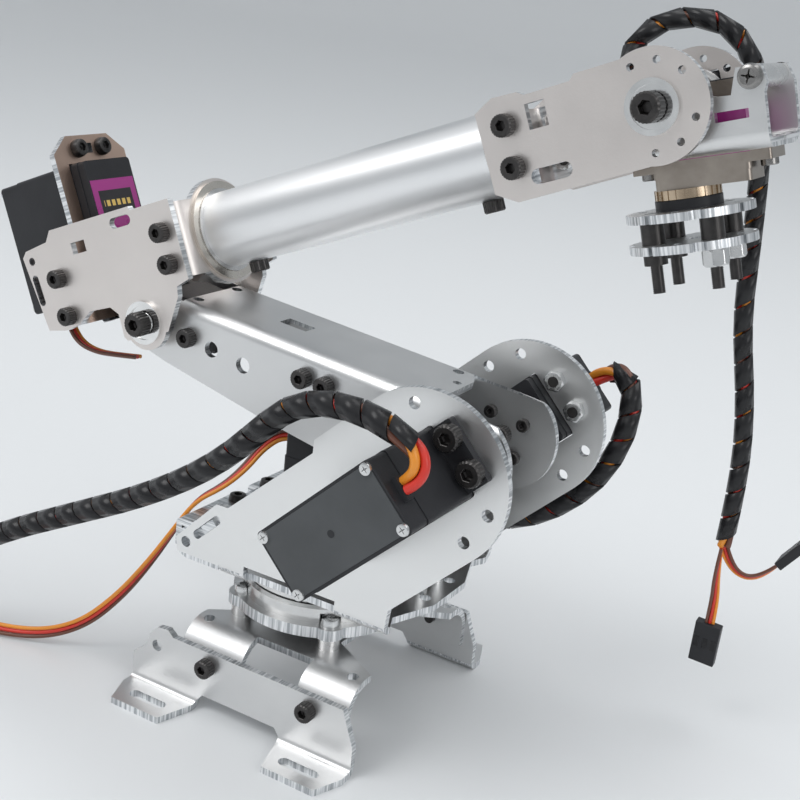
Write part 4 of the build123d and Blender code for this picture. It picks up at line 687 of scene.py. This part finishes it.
servo_plastic = moulded("servo_plastic", (0.012, 0.012, 0.014, 1), (0.035, 0.036, 0.040, 1))
# Painted sheen: this lighter copy of the case plastic stands for the key lamp's light on the front servo's cover.
sheen_painted_plastic = moulded("sheen_painted_plastic", (0.050, 0.054, 0.057, 1), (0.095, 0.100, 0.105, 1))
dress(servo_plastic, "waist_servo", "shoulder_servo_front", "shoulder_servo_rear", "elbow_servo",
      "roll_servo", "wrist_servo")
dress(turned_metal("servo_alloy", (0.22, 0.19, 0.165, 1), (0.46, 0.41, 0.36, 1), low=0.24, high=0.4),
      "tool_servo")


def slab(low, high, soft=0.0):
    """A block between two corners in millimetres, its edges rounded off by soft."""
    made = bmesh.new()
    bmesh.ops.create_cube(made, size=1)
    low, high = Vector(low) * MM, Vector(high) * MM
    for v in made.verts:
        v.co = Vector(low[i] + (v.co[i] + 0.5) * (high[i] - low[i]) for i in range(3))
    if soft:
        bmesh.ops.bevel(made, geom=made.edges[:], offset=soft * MM, affect="EDGES", segments=3,
                        profile=0.5, material=-1)
    return made


def case_screws(name, body, place, case, panel_plastic):
    """A servo's cover panel, its four Phillips heads, and the dimple in its middle.

    The case runs from near before the shaft to far behind it, half wide each way, down to its cover.
    """
    near, far, half, cover = case
    made = bmesh.new()
    inset, border = 0.2 * half, 0.1 * half
    panel = slab((border - far, border - half, cover - 0.3), (near - border, half - border, cover + 0.2),
                 soft=0.12)
    stamp(made, panel, place, 2)
    for x in (near - inset, inset - far):
        for y in (half - inset, inset - half):
            spot = place @ Matrix.Translation(Vector((x, y, cover + 0.05)) * MM)
            stamp(made, cap_head(0.17 * half * MM, 0.08 * half * MM, "cross"),
                  spot @ Matrix.Rotation(math.pi, 4, "X"))
    dimple = bmesh.new()
    bmesh.ops.create_cone(dimple, cap_ends=True, segments=24, radius1=0.1 * half * MM,
                          radius2=0.08 * half * MM, depth=0.12 * MM)
    stamp(made, dimple, place @ Matrix.Translation(Vector(((near - far) / 2, 0, cover - 0.32)) * MM), 1)
    piece = link_mesh(name, made, zinc_plate, servo_plastic, panel_plastic, shading="crisp")
    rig.ride(piece, body)
    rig.slot(piece, "turned_metal")


case_screws("front_servo_screws", "turret",
            facing(row, (SHOULDER_X, -CHEEK_OUT_Y, SHOULDER_Z), tilt_way, Y), BIG_CASE, sheen_painted_plastic)
case_screws("rear_servo_screws", "turret",
            facing(row, (SHOULDER_X, CHEEK_OUT_Y, SHOULDER_Z), tilt_way, -Y), BIG_CASE, servo_plastic)
case_screws("waist_servo_case_screws", "turret",
            facing(row, (WAIST_X, 0, WAIST_SEAT_Z), -X, -Z), BIG_CASE, servo_plastic)
case_screws("roll_servo_case_screws", "elbow_box",
            facing(fore, (ROLL_SEAT_X, 0, ROLL_AXIS_Z), -Z, X), BIG_CASE, servo_plastic)
case_screws("wrist_servo_case_screws", "forearm",
            facing(fork, (0, FORK_SEAT_Y, 0), X, -Y), SMALL_CASE, servo_plastic)
case_screws("tool_servo_case_screws", "wrist",
            facing(hand, (0, 0, TOOL_SEAT_Z), -X, -Z), SMALL_CASE, servo_plastic)


# Labels: printed foil on the roll servo's proud face and round the tool servo, magenta and black.
# Gold bars of a made-up pattern stand where the real one has its maker's print.
def band(tree, along, low, high):
    """1 where a coordinate lies between two values."""
    over = math_node(tree, "GREATER_THAN", along, low)
    under = math_node(tree, "LESS_THAN", along, high)
    return math_node(tree, "MULTIPLY", over, under)


MAGENTA = (0.34, 0.03, 0.22, 1)
LABEL_BLACK = (0.012, 0.010, 0.012, 1)
GOLD = (0.72, 0.50, 0.13, 1)


def label_foil(name, middle, up_way, side_way, box_half, box_low, box_high):
    """Foil with a black box across it and gold bars in the box, sizes in millimetres from middle."""
    material, tree, shader = finish(name, Coat_Weight=0.4)
    spot = put(tree, "ShaderNodeTexCoord").outputs["Object"]
    rise = math_node(tree, "SUBTRACT", dot(tree, spot, tuple(up_way)), Vector(middle).dot(up_way))
    wide = math_node(tree, "SUBTRACT", dot(tree, spot, tuple(side_way)), Vector(middle).dot(side_way))
    box = math_node(tree, "MULTIPLY", band(tree, rise, box_low * MM, box_high * MM),
                    band(tree, wide, -box_half * MM, box_half * MM))
    centre = (box_low + box_high) / 2
    dashes = math_node(tree, "SINE", math_node(tree, "MULTIPLY", wide, 2 * math.pi / (2.2 * MM)))
    dashes = math_node(tree, "GREATER_THAN", dashes, -0.4)
    bars = math_node(tree, "MULTIPLY", dashes, band(tree, rise, (centre - 0.9) * MM, (centre + 0.9) * MM))
    bars = math_node(tree, "MULTIPLY", bars, band(tree, wide, -0.8 * box_half * MM, 0.8 * box_half * MM))
    colour = put(tree, "ShaderNodeMix", {0: box, 6: MAGENTA, 7: LABEL_BLACK}, data_type="RGBA").outputs[2]
    colour = put(tree, "ShaderNodeMix", {0: bars, 6: colour, 7: GOLD}, data_type="RGBA").outputs[2]
    tree.links.new(colour, shader.inputs["Base Color"])
    satin = use(tree, rolled_satin)
    rough = put(tree, "ShaderNodeMapRange", {"Value": satin.outputs["Cloud"], "To Min": 0.2, "To Max": 0.36})
    tree.links.new(rough.outputs[0], shader.inputs["Roughness"])
    return material


def label(name, body, place, low, high, foil):
    """A label as a thin block between two corners in the frame of its link."""
    made = slab(low, high, soft=0.03)
    made.transform(place)
    piece = link_mesh(name, made, foil)
    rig.ride(piece, body)
    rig.slot(piece, "servo_magenta")


FOIL = 0.12
ROLL_FACE_X = -17.4
fore_up, fore_way = fore.to_3x3() @ Z, fore.to_3x3() @ X
label("roll_servo_label", "elbow_box", fore,
      (ROLL_FACE_X - 0.02, -9.2, 29.0), (ROLL_FACE_X + FOIL, 9.2, 44.0),
      label_foil("roll_foil", fore @ (Vector((ROLL_FACE_X, 0, 36.5)) * MM), fore_up, Y, 7.0, -3.6, 4.2))
hand_up, hand_way = hand.to_3x3() @ Z, hand.to_3x3() @ X
label("tool_servo_label", "wrist", hand,
      (-6.0 - FOIL, -6.1 - FOIL, -12.6), (16.8 + FOIL, 6.1 + FOIL, -2.0),
      label_foil("tool_foil", hand @ (Vector((5.4, 0, -7.3)) * MM), hand_up, hand_way, 5.0, -2.6, 2.4))


# Upper arm: a channel bent from one sheet, with a horn on each shoulder servo and the elbow servo in it.
# The web between its sides is the brightest strip of the picture.
WEB_AT_SHOULDER, WEB_SLOPE, WEB_HALF = 13.7, 0.058, 14.4
web_way = (arm.to_3x3() @ Vector((-WEB_SLOPE, 0, 1))).normalized()


def on_web(tree):
    """1 on the web: over its plane and between the channel's sides."""
    over = beyond(arm @ (Vector((0, 0, WEB_AT_SHOULDER - 1.1)) * MM), web_way)(tree)
    across = math_node(tree, "ABSOLUTE", dot(tree, put(tree, "ShaderNodeTexCoord").outputs["Object"], Y_WAY))
    return math_node(tree, "MULTIPLY", over, math_node(tree, "LESS_THAN", across, WEB_HALF * MM))


dress(sheet_metal("channel_sheet", face_way=Y_WAY, lip_way=tuple(web_way), lip_where=on_web),
      "upper_arm_channel")
dress(turned_alloy, "shoulder_horns", "elbow_servo_post", "elbow_servo_horn")
fasteners("horn_screws", "shoulder_horn_screws", [Y], "upper_arm")
fasteners("side_screws", "upper_arm_side_screws", [Y], "upper_arm")
fasteners("elbow_pivot", "elbow_pivot_screw", [Y], "upper_arm")


# Elbow box: two plates screwed to bent end plates, a flanged bearing, and the tube's turned bush.
# Here the plates mirror the warm wall of the room, so their satin is a little red.
WARM_LIGHT = (0.82, 0.775, 0.745, 1)
WARM_DARK = (0.62, 0.575, 0.55, 1)
# Painted reflection: the roll servo plate is painted redder still, the warm wall's reflection laid into its colour.
PAINTED_REFLECTION_LIGHT = (0.62, 0.46, 0.37, 1)
PAINTED_REFLECTION_DARK = (0.40, 0.29, 0.24, 1)
warm_sheet = sheet_metal("warm_sheet", light=WARM_LIGHT, dark=WARM_DARK)
dress(warm_sheet, "elbow_plate_front", "elbow_plate_rear", "fork_plate_front", "fork_plate_rear")
dress(sheet_metal("warm_end_sheet", face_way=tuple(fore_way), light=WARM_LIGHT, dark=WARM_DARK),
      "tube_end_plate", "fork_cross_plate")
dress(sheet_metal("painted_reflection_sheet", face_way=tuple(fore_way), light=PAINTED_REFLECTION_LIGHT, dark=PAINTED_REFLECTION_DARK),
      "roll_servo_plate")
dress(turned_metal("bearing_steel", (0.60, 0.60, 0.60, 1), (0.92, 0.92, 0.91, 1), low=0.07, high=0.18),
      "elbow_pivot_bearing", "wrist_pivot_bearing")
dress(turned_metal("bush_alloy", (0.56, 0.52, 0.47, 1), (0.80, 0.76, 0.70, 1)), "tube_roll_bush")
fasteners("elbow_screws", "elbow_box_screws", [fore_way, Y, fore_up], "elbow_box")


# Forearm: a hub on the roll servo's horn, a tube of drawn aluminium, anodised to a fine satin,
# and a fork of two plates screwed to a bent cross plate.
dress(turned_alloy, "roll_servo_horn", "roll_hub", "forearm_end_plug")
tube_satin, tree, shader = finish("tube_satin", Metallic=1.0, Anisotropic=0.5)
polish(tree, shader, (0.80, 0.81, 0.82, 1), (0.90, 0.90, 0.90, 1), (0.34, 0.46), grain=2800.0,
       cloud=22.0, relief=(0.18, 0.00005), rough_by="Grain")
dress(tube_satin, "forearm_tube")
fasteners("forearm_fixings", "forearm_screws", [fore_way, Y, fore_up], "forearm")


# Wrist: a small bracket with bent ears round the tool servo, its pivot screw and its ear screws.
# The two ears' screws are bright pan heads with a cross, the only ones in the front of the arm.
dress(sheet_metal("bracket_sheet", face_way=Y_WAY, lip_way=tuple(hand_up),
                  lip_where=beyond(hand @ (Vector((0, 0, -11.4)) * MM), -hand_up)), "wrist_bracket")
dress(turned_alloy, "wrist_servo_horn")
dark_steel = turned_metal("dark_steel", (0.16, 0.155, 0.15, 1), (0.40, 0.39, 0.38, 1))
fasteners("ear_screws", "wrist_bracket_screws", [hand_up, Y, hand_way], "wrist", socket="cross",
          metals=(dark_steel, zinc_plate))
fasteners("wrist_pivot", "wrist_pivot_screw", [Y], "wrist")


# Tool flange: two lugged discs on the servo's horn, with spacers between, and long M3 bolts below.
# The geared ring over them is brass, browned by its lacquer.
dress(turned_metal("lacquered_brass", (0.34, 0.25, 0.17, 1), (0.66, 0.54, 0.40, 1), low=0.2, high=0.34),
      "tool_servo_gear_ring")
dress(servo_plastic, "tool_servo_horn")
dress(sheet_metal("flange_sheet", face_way=tuple(hand_up)), "tool_flange_discs")
THREAD_PITCH = 0.5 * MM
fasteners("flange_bolts", "tool_flange_bolts", [hand_up], "tool_flange", thread=THREAD_PITCH)


# Servo leads: each is three thin wires, orange, red and brown, laid flat or twisted together.
# A route is the line that the lead's middle takes; the wires and all that is wound on it follow it.
def route(name, points, place=row):
    """The middle line of a lead through points in millimetres, as a smooth curve."""
    line = bpy.data.curves.new(name, "CURVE")
    line.dimensions = "3D"
    line.resolution_u = 16
    spline = line.splines.new("NURBS")
    spline.points.add(len(points) - 1)
    for point, spot in zip(spline.points, points):
        point.co = (*(place @ (Vector(spot) * MM)), 1)
    spline.order_u = 3
    spline.use_endpoint_u = True
    return line


def stations(line, step):
    """Even places along a route: each a point, the way on, and two ways across it."""
    holder = bpy.data.objects.new("line", line)
    mesh = bpy.data.meshes.new_from_object(holder)
    points = [v.co.copy() for v in mesh.vertices]
    bpy.data.objects.remove(holder)
    bpy.data.meshes.remove(mesh)
    runs = [0.0]
    for a, b in zip(points, points[1:]):
        runs.append(runs[-1] + (b - a).length)
    count = max(2, round(runs[-1] / (step * MM)))
    made, k = [], 0
    side = Vector((0, 0, 1))
    for i in range(count + 1):
        at = runs[-1] * i / count
        while k < len(runs) - 2 and runs[k + 1] < at:
            k += 1
        spot = points[k].lerp(points[k + 1], (at - runs[k]) / max(runs[k + 1] - runs[k], 1e-9))
        way = (points[min(k + 2, len(points) - 1)] - points[max(k - 1, 0)]).normalized()
        side = (side - way * side.dot(way)).normalized()
        made.append((spot, way, side.copy(), way.cross(side)))
    return made, runs[-1]


def wire(places, radius, offset=0.0, start=0.0, turns=0.0):
    """One round wire beside the middle line: offset from it, wound round it by a number of turns."""
    line = bpy.data.curves.new("wire", "CURVE")
    line.dimensions = "3D"
    line.bevel_depth = radius * MM
    line.bevel_resolution = 2
    line.use_fill_caps = True
    spline = line.splines.new("POLY")
    spline.points.add(len(places) - 1)
    for i, (spot, way, side, over) in enumerate(places):
        angle = start + 2 * math.pi * turns * i / (len(places) - 1)
        out = side * math.cos(angle) + over * math.sin(angle)
        spline.points[i].co = (*(spot + out * offset * MM), 1)
    holder = bpy.data.objects.new("wire", line)
    made = bmesh.new()
    mesh = bpy.data.meshes.new_from_object(holder)
    made.from_mesh(mesh)
    bpy.data.objects.remove(holder)
    bpy.data.meshes.remove(mesh)
    return made


def insulation(name, colour):
    """Soft wire insulation, a little darker where it has been handled."""
    material, tree, shader = finish(name, Coat_Weight=0.15)
    dull = tuple(0.72 * c for c in colour[:3]) + (1,)
    polish(tree, shader, dull, colour, (0.3, 0.48), cloud=90.0)
    return material


WIRE_COLOURS = [insulation("wire_orange", (0.92, 0.33, 0.03, 1)),
                insulation("wire_red", (0.72, 0.035, 0.02, 1)),
                insulation("wire_brown", (0.16, 0.055, 0.03, 1))]


def wires(name, places, radius, offset, turns, flat=False, tilt=0.0):
    """Three wires as one piece, side by side if flat, or else twisted."""
    made = bmesh.new()
    for k in range(3):
        if flat:
            strand = wire(places, radius, offset * (k - 1), tilt, turns)
        else:
            strand = wire(places, radius, offset, 2 * math.pi * k / 3, turns)
        stamp(made, strand, row, k)
    return link_mesh(name, made, *WIRE_COLOURS, shading="smooth")


# Spiral wrap: a strip of black glossy plastic wound round the wires, with a gap at each turn
# through which they show. It is 0.7 mm thick and springs a little away from the wires.
wrap_plastic = moulded("wrap_plastic", (0.008, 0.008, 0.009, 1), (0.022, 0.022, 0.024, 1), low=0.2, high=0.36,
                       grain=700.0, relief=0.1)
WRAP_PITCH, WRAP_GAP, WRAP_THICK = 7.7, 1.0, 0.7


def spiral_wrap(name, body, places, radius, first=0):
    """The strip: one edge of it drawn out station by station, then given its thickness."""
    step = (places[1][0] - places[0][0]).length / MM
    inner = radius - WRAP_THICK / 2
    strip = bmesh.new()

    def spot_at(i, run):
        place = places[min(max(i, 0), len(places) - 1)]
        angle = 2 * math.pi * run / WRAP_PITCH
        return place[0] + (place[2] * math.cos(angle) + place[3] * math.sin(angle)) * inner * MM

    width = round((WRAP_PITCH - WRAP_GAP) / step)
    ends = [bmesh.ops.create_vert(strip, co=spot_at(first + shift, first * step))["vert"][0]
            for shift in (0, width)]
    edge = bmesh.ops.contextual_create(strip, geom=ends)["edges"][0]
    for i in range(first + 1, len(places) - width):
        grown = bmesh.ops.extrude_edge_only(strip, edges=[edge])["geom"]
        edge = next(g for g in grown if isinstance(g, bmesh.types.BMEdge))
        fresh = sorted(edge.verts, key=lambda v: (v.co - places[i + width][0]).length, reverse=True)
        fresh[0].co, fresh[1].co = spot_at(i, i * step), spot_at(i + width, i * step)
    bmesh.ops.recalc_face_normals(strip, faces=strip.faces)
    piece = link_mesh(name, strip, wrap_plastic, shading="smooth")
    thick = piece.modifiers.new("thickness", "SOLIDIFY")
    thick.thickness = WRAP_THICK * MM
    thick.offset = 0.0
    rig.ride(piece, body)
    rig.slot(piece, "wrap_black")
    return piece


# Plugs: the three-way black housings at the leads' ends, with ribs at their sides and three sockets.
PLUG_W, PLUG_L, PLUG_T = 7.6, 14.0, 2.6
PIN_PITCH = 2.54
RIB_HALF, RIB_FROM, RIB_TO = 0.75, 5.0, 8.6
SOCKET_HALF, SOCKET_DEEP = 0.5, 0.6


def plug(name, body, spot, way, side):
    """A plug whose cable end is at spot, in row metres, its width along side."""
    z = Vector(way).normalized()
    x = (Vector(side) - z * z.dot(side)).normalized()
    place = Matrix.Translation(spot) @ Matrix((x, z.cross(x), z)).transposed().to_4x4()
    made = slab((-PLUG_W / 2, -PLUG_T / 2, 0.05), (PLUG_W / 2, PLUG_T / 2, PLUG_L), soft=0.25)
    for k in (-1, 0, 1):
        pin = PIN_PITCH * k
        rib = slab((pin - RIB_HALF, PLUG_T / 2 - 0.1, RIB_FROM),
                   (pin + RIB_HALF, PLUG_T / 2 + 0.12, RIB_TO), soft=0.08)
        stamp(made, rib, row, 1)
        hole = slab((pin - SOCKET_HALF, -SOCKET_HALF, PLUG_L - SOCKET_DEEP),
                    (pin + SOCKET_HALF, SOCKET_HALF, PLUG_L + 0.04), soft=0.02)
        stamp(made, hole, row, 2)
    made.transform(place)
    piece = link_mesh(name, made, servo_plastic, wrap_plastic, black_oxide)
    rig.ride(piece, body)
    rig.slot(piece, "wrap_black")
    return piece


# Front shoulder lead: out of the servo's end, bare for a short way, then wrapped, over the cheek
# and off to the left, where it leaves the picture. Its length is that of such a servo's lead.
FRONT_LEAD = [(55.65, -55.6, 96.45), (58.3, -55.5, 99.4), (58.2, -55.3, 103.6), (54.4, -54.9, 106.9),
              (48, -54.3, 109), (39, -53.5, 110), (30, -52.7, 109.2), (20.5, -51.8, 105.3), (12, -51, 97.6),
              (3.5, -50.4, 88.5), (-9, -50, 78), (-27, -49.5, 66.5), (-50, -49, 54.5), (-76, -49, 41),
              (-98, -50, 27), (-115, -53, 13), (-131, -58, 4.6), (-150, -66, 3.4)]
STATION = 0.7
WRAP_RADIUS = 3.2
WRAPPED_WIRE, WRAPPED_OUT = 1.2, 1.4
BARE_FRONT = 14
places, run = stations(route("front_route", FRONT_LEAD), STATION)
front = wires("front_lead", places, WRAPPED_WIRE, WRAPPED_OUT, turns=7)
wrap = spiral_wrap("front_lead_wrap", "turret", places, WRAP_RADIUS, first=BARE_FRONT)
end = plug("front_lead_plug", "turret", places[-1][0], places[-1][1], Y)
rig.replaces(front, "shoulder_servo_lead")
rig.ride(front, "turret")
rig.slot(front, "wire_colours")
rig.cord(front, exit=places[0][0], length=run, diameter=2 * WRAP_RADIUS * MM, far_end="plug",
        stiffness="medium", lay="loose", path=[p[0] for p in places], with_pieces=[wrap, end])

# Waist servo lead: three flat wires from under the turret's middle, hanging over the floor's edge
# and lying on the desk to the left.
WAIST_LEAD = [(-10.35, 0, 75.15), (-15.6, -0.2, 75), (-20.2, -4, 70.5), (-22.2, -9.5, 64.5), (-26, -14, 59.2),
              (-32.5, -18.5, 54), (-36.2, -23, 45), (-41.5, -27, 34), (-50, -30, 21), (-61, -33.5, 9),
              (-74, -38.5, 2.9), (-91, -44.5, 2.1), (-108, -48, 2.3)]
LEAD_RADIUS = 1.9
FLAT_WIRE, FLAT_STEP = 0.62, 1.24
places, run = stations(route("waist_route", WAIST_LEAD), STATION)
waist = wires("waist_lead", places, FLAT_WIRE, FLAT_STEP, turns=0.6, flat=True, tilt=0.6)
end = plug("waist_lead_plug", "turret", places[-1][0], places[-1][1], Y)
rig.replaces(waist, "waist_servo_lead")
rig.ride(waist, "turret")
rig.slot(waist, "wire_colours")
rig.cord(waist, exit=places[0][0], length=run, diameter=2 * LEAD_RADIUS * MM, far_end="plug", stiffness="limp",
        lay="loose", path=[p[0] for p in places], with_pieces=[end])

# Rear shoulder lead: wrapped like the front one, looped down behind the rear cheek to a tied hank.
# The hank is the spare length, three flat turns of the lead with its plug laid on them.
REAR_LEAD = [(55.65, 55.6, 96.45), (58.8, 55.4, 99.8), (63.4, 54.6, 101.6), (68, 53, 99.6),
             (70.2, 50.8, 93.6), (70.4, 48, 84), (66.5, 45, 72), (57.5, 42, 61), (45, 39.6, 53),
             (32, 38.4, 50.4), (20, 37.8, 51.6), (12.6, 37.6, 52.4)]
BARE_REAR = 6
places, run = stations(route("rear_route", REAR_LEAD), STATION)
rear = wires("rear_lead", places, WRAPPED_WIRE, WRAPPED_OUT, turns=3)
wrap = spiral_wrap("rear_lead_wrap", "turret", places, WRAP_RADIUS, first=BARE_REAR)
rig.replaces(rear, "shoulder_rear_lead")
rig.ride(rear, "turret")
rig.slot(rear, "wire_colours")
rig.cord(rear, exit=places[0][0], length=run, diameter=2 * WRAP_RADIUS * MM, far_end="tool",
        stiffness="medium", lay="loose", path=[p[0] for p in places], with_pieces=[wrap])

HANK_LEFT, HANK_RIGHT, HANK_Z, HANK_BEND = -13.0, 7.0, 52.4, 4.4
HANK_Y, HANK_STEP, HANK_TURNS, TURN_POINTS = 34.6, 1.6, 3.25, 24
HANK_RADIUS, HANK_WIRE, HANK_OUT = 0.9, 0.42, 0.48
TIE_LOW, TIE_HIGH = (-4.2, 33.5, 46.9), (-1.8, 41.7, 57.9)


def hank_point(share):
    """A place on the flat loop, share of a turn from its right end: round, along, round, along."""
    angle = 2 * math.pi * share
    middle = (HANK_LEFT + HANK_RIGHT) / 2
    reach = (HANK_RIGHT - HANK_LEFT) / 2
    pull = max(-1.0, min(1.0, 1.6 * math.cos(angle)))
    return (middle + reach * pull + HANK_BEND * math.cos(angle), HANK_Z + HANK_BEND * math.sin(angle))


loop = [REAR_LEAD[-1]]
for k in range(1, round(HANK_TURNS * TURN_POINTS) + 1):
    x, z = hank_point(k / TURN_POINTS)
    loop.append((x, HANK_Y + HANK_STEP * k / TURN_POINTS, z))
places, run = stations(route("hank_route", loop), STATION)
hank = wires("rear_hank", places, HANK_WIRE, HANK_OUT, turns=12)
end = plug("hank_plug", "turret", places[-1][0], (-1, 0, 0), Z)
tie = link_mesh("hank_tie", slab(TIE_LOW, TIE_HIGH, soft=0.6), wrap_plastic)
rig.ride(tie, "turret")
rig.slot(tie, "wrap_black")
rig.replaces(hank, "shoulder_rear_hank")
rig.ride(hank, "turret")
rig.slot(hank, "wire_colours")
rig.cord(hank, exit=places[0][0], length=run, diameter=2 * HANK_RADIUS * MM, far_end="plug", stiffness="limp",
        lay="coiled", path=[p[0] for p in places], with_pieces=[tie, end])

# Roll servo lead: down from the servo's foot and under the elbow into the channel.
ROLL_LEAD = [(-50.4, 0, 8.2), (-50.2, 0, 3.6), (-47.5, -0.5, -2), (-41, -1, -5.8), (-33, -1.5, -8),
             (-24.5, -1.5, -10.1)]
places, run = stations(route("roll_route", ROLL_LEAD, fore), STATION)
roll = wires("roll_lead", places, FLAT_WIRE, FLAT_STEP, turns=0.0, flat=True, tilt=math.pi / 2)
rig.replaces(roll, "roll_servo_lead")
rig.ride(roll, "elbow_box")
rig.slot(roll, "wire_colours")
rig.cord(roll, exit=places[0][0], length=run, diameter=2 * LEAD_RADIUS * MM, far_end="bare", stiffness="limp",
        lay="taut", path=[p[0] for p in places])

# Wrist lead: the wrist and tool servos' leads in one wrap, arched over the wrist and hanging.
# They part at its end into two tails, each with its own plug.
WRIST_LEAD = [(-18.2, 33.0, -6.3), (-24.6, 34.0, -3.0), (-28.5, 36.5, 6), (-24, 39, 15.5), (-13, 41, 19.5),
              (-1.5, 42.5, 17), (6.5, 43.6, 5), (9.6, 44.6, -13), (11.2, 45.8, -36), (12.2, 47.2, -58),
              (17.2, 48.6, -80), (19.4, 50, -102), (18.4, 51.4, -124)]
TAIL_A = [(18.2, 50.0, -124.5), (18.4, 49.6, -133), (19.2, 50.4, -141), (18.8, 51.6, -149)]
TAIL_B = [(18.2, 52.9, -124.9), (20.4, 54.2, -130.5), (25.4, 54.8, -133.4), (30.6, 55, -130.6),
          (34.2, 55, -125.6)]
BUNDLE_RADIUS, BUNDLE_WIRE, BUNDLE_OUT = 2.6, 0.98, 1.14
TAIL_WIRE, TAIL_STEP = 0.5, 0.98
BARE_WRIST = 5
wrist_row = Matrix.Translation(WRIST)
places, run = stations(route("wrist_route", WRIST_LEAD, wrist_row), STATION)
wrist = wires("wrist_lead_wires", places, BUNDLE_WIRE, BUNDLE_OUT, turns=6)
wrap = spiral_wrap("wrist_lead_wrap", "forearm", places, BUNDLE_RADIUS, first=BARE_WRIST)
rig.replaces(wrist, "wrist_lead")
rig.ride(wrist, "forearm")
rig.slot(wrist, "wire_colours")

tails, plugs = [], []
for name, points, side in (("wrist_tail_low", TAIL_A, X), ("wrist_tail_side", TAIL_B, Y)):
    ends = stations(route(name + "_route", points, wrist_row), STATION)[0]
    tail = wires(name, ends, TAIL_WIRE, TAIL_STEP, turns=0.25, flat=True, tilt=0.3)
    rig.ride(tail, "forearm")
    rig.slot(tail, "wire_colours")
    tails.append(tail)
    way = (Vector(points[-1]) - Vector(points[-2])).normalized()
    plugs.append(plug(name + "_plug", "forearm", ends[-1][0], way, side))
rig.replaces(tails[0], "wrist_lead_tails")
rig.replaces(plugs[0], "wrist_lead_plugs")
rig.cord(wrist, exit=places[0][0], length=run, diameter=2 * BUNDLE_RADIUS * MM, far_end="plug",
        stiffness="medium", lay="hanging", path=[p[0] for p in places], with_pieces=[wrap, *tails, *plugs])

visual_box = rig.bounds()
with open("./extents.json", "w") as out:
    json.dump({"cad": [[float(v) for v in corner] for corner in cad_box],
               "visual": [[float(v) for v in corner] for corner in visual_box]}, out)
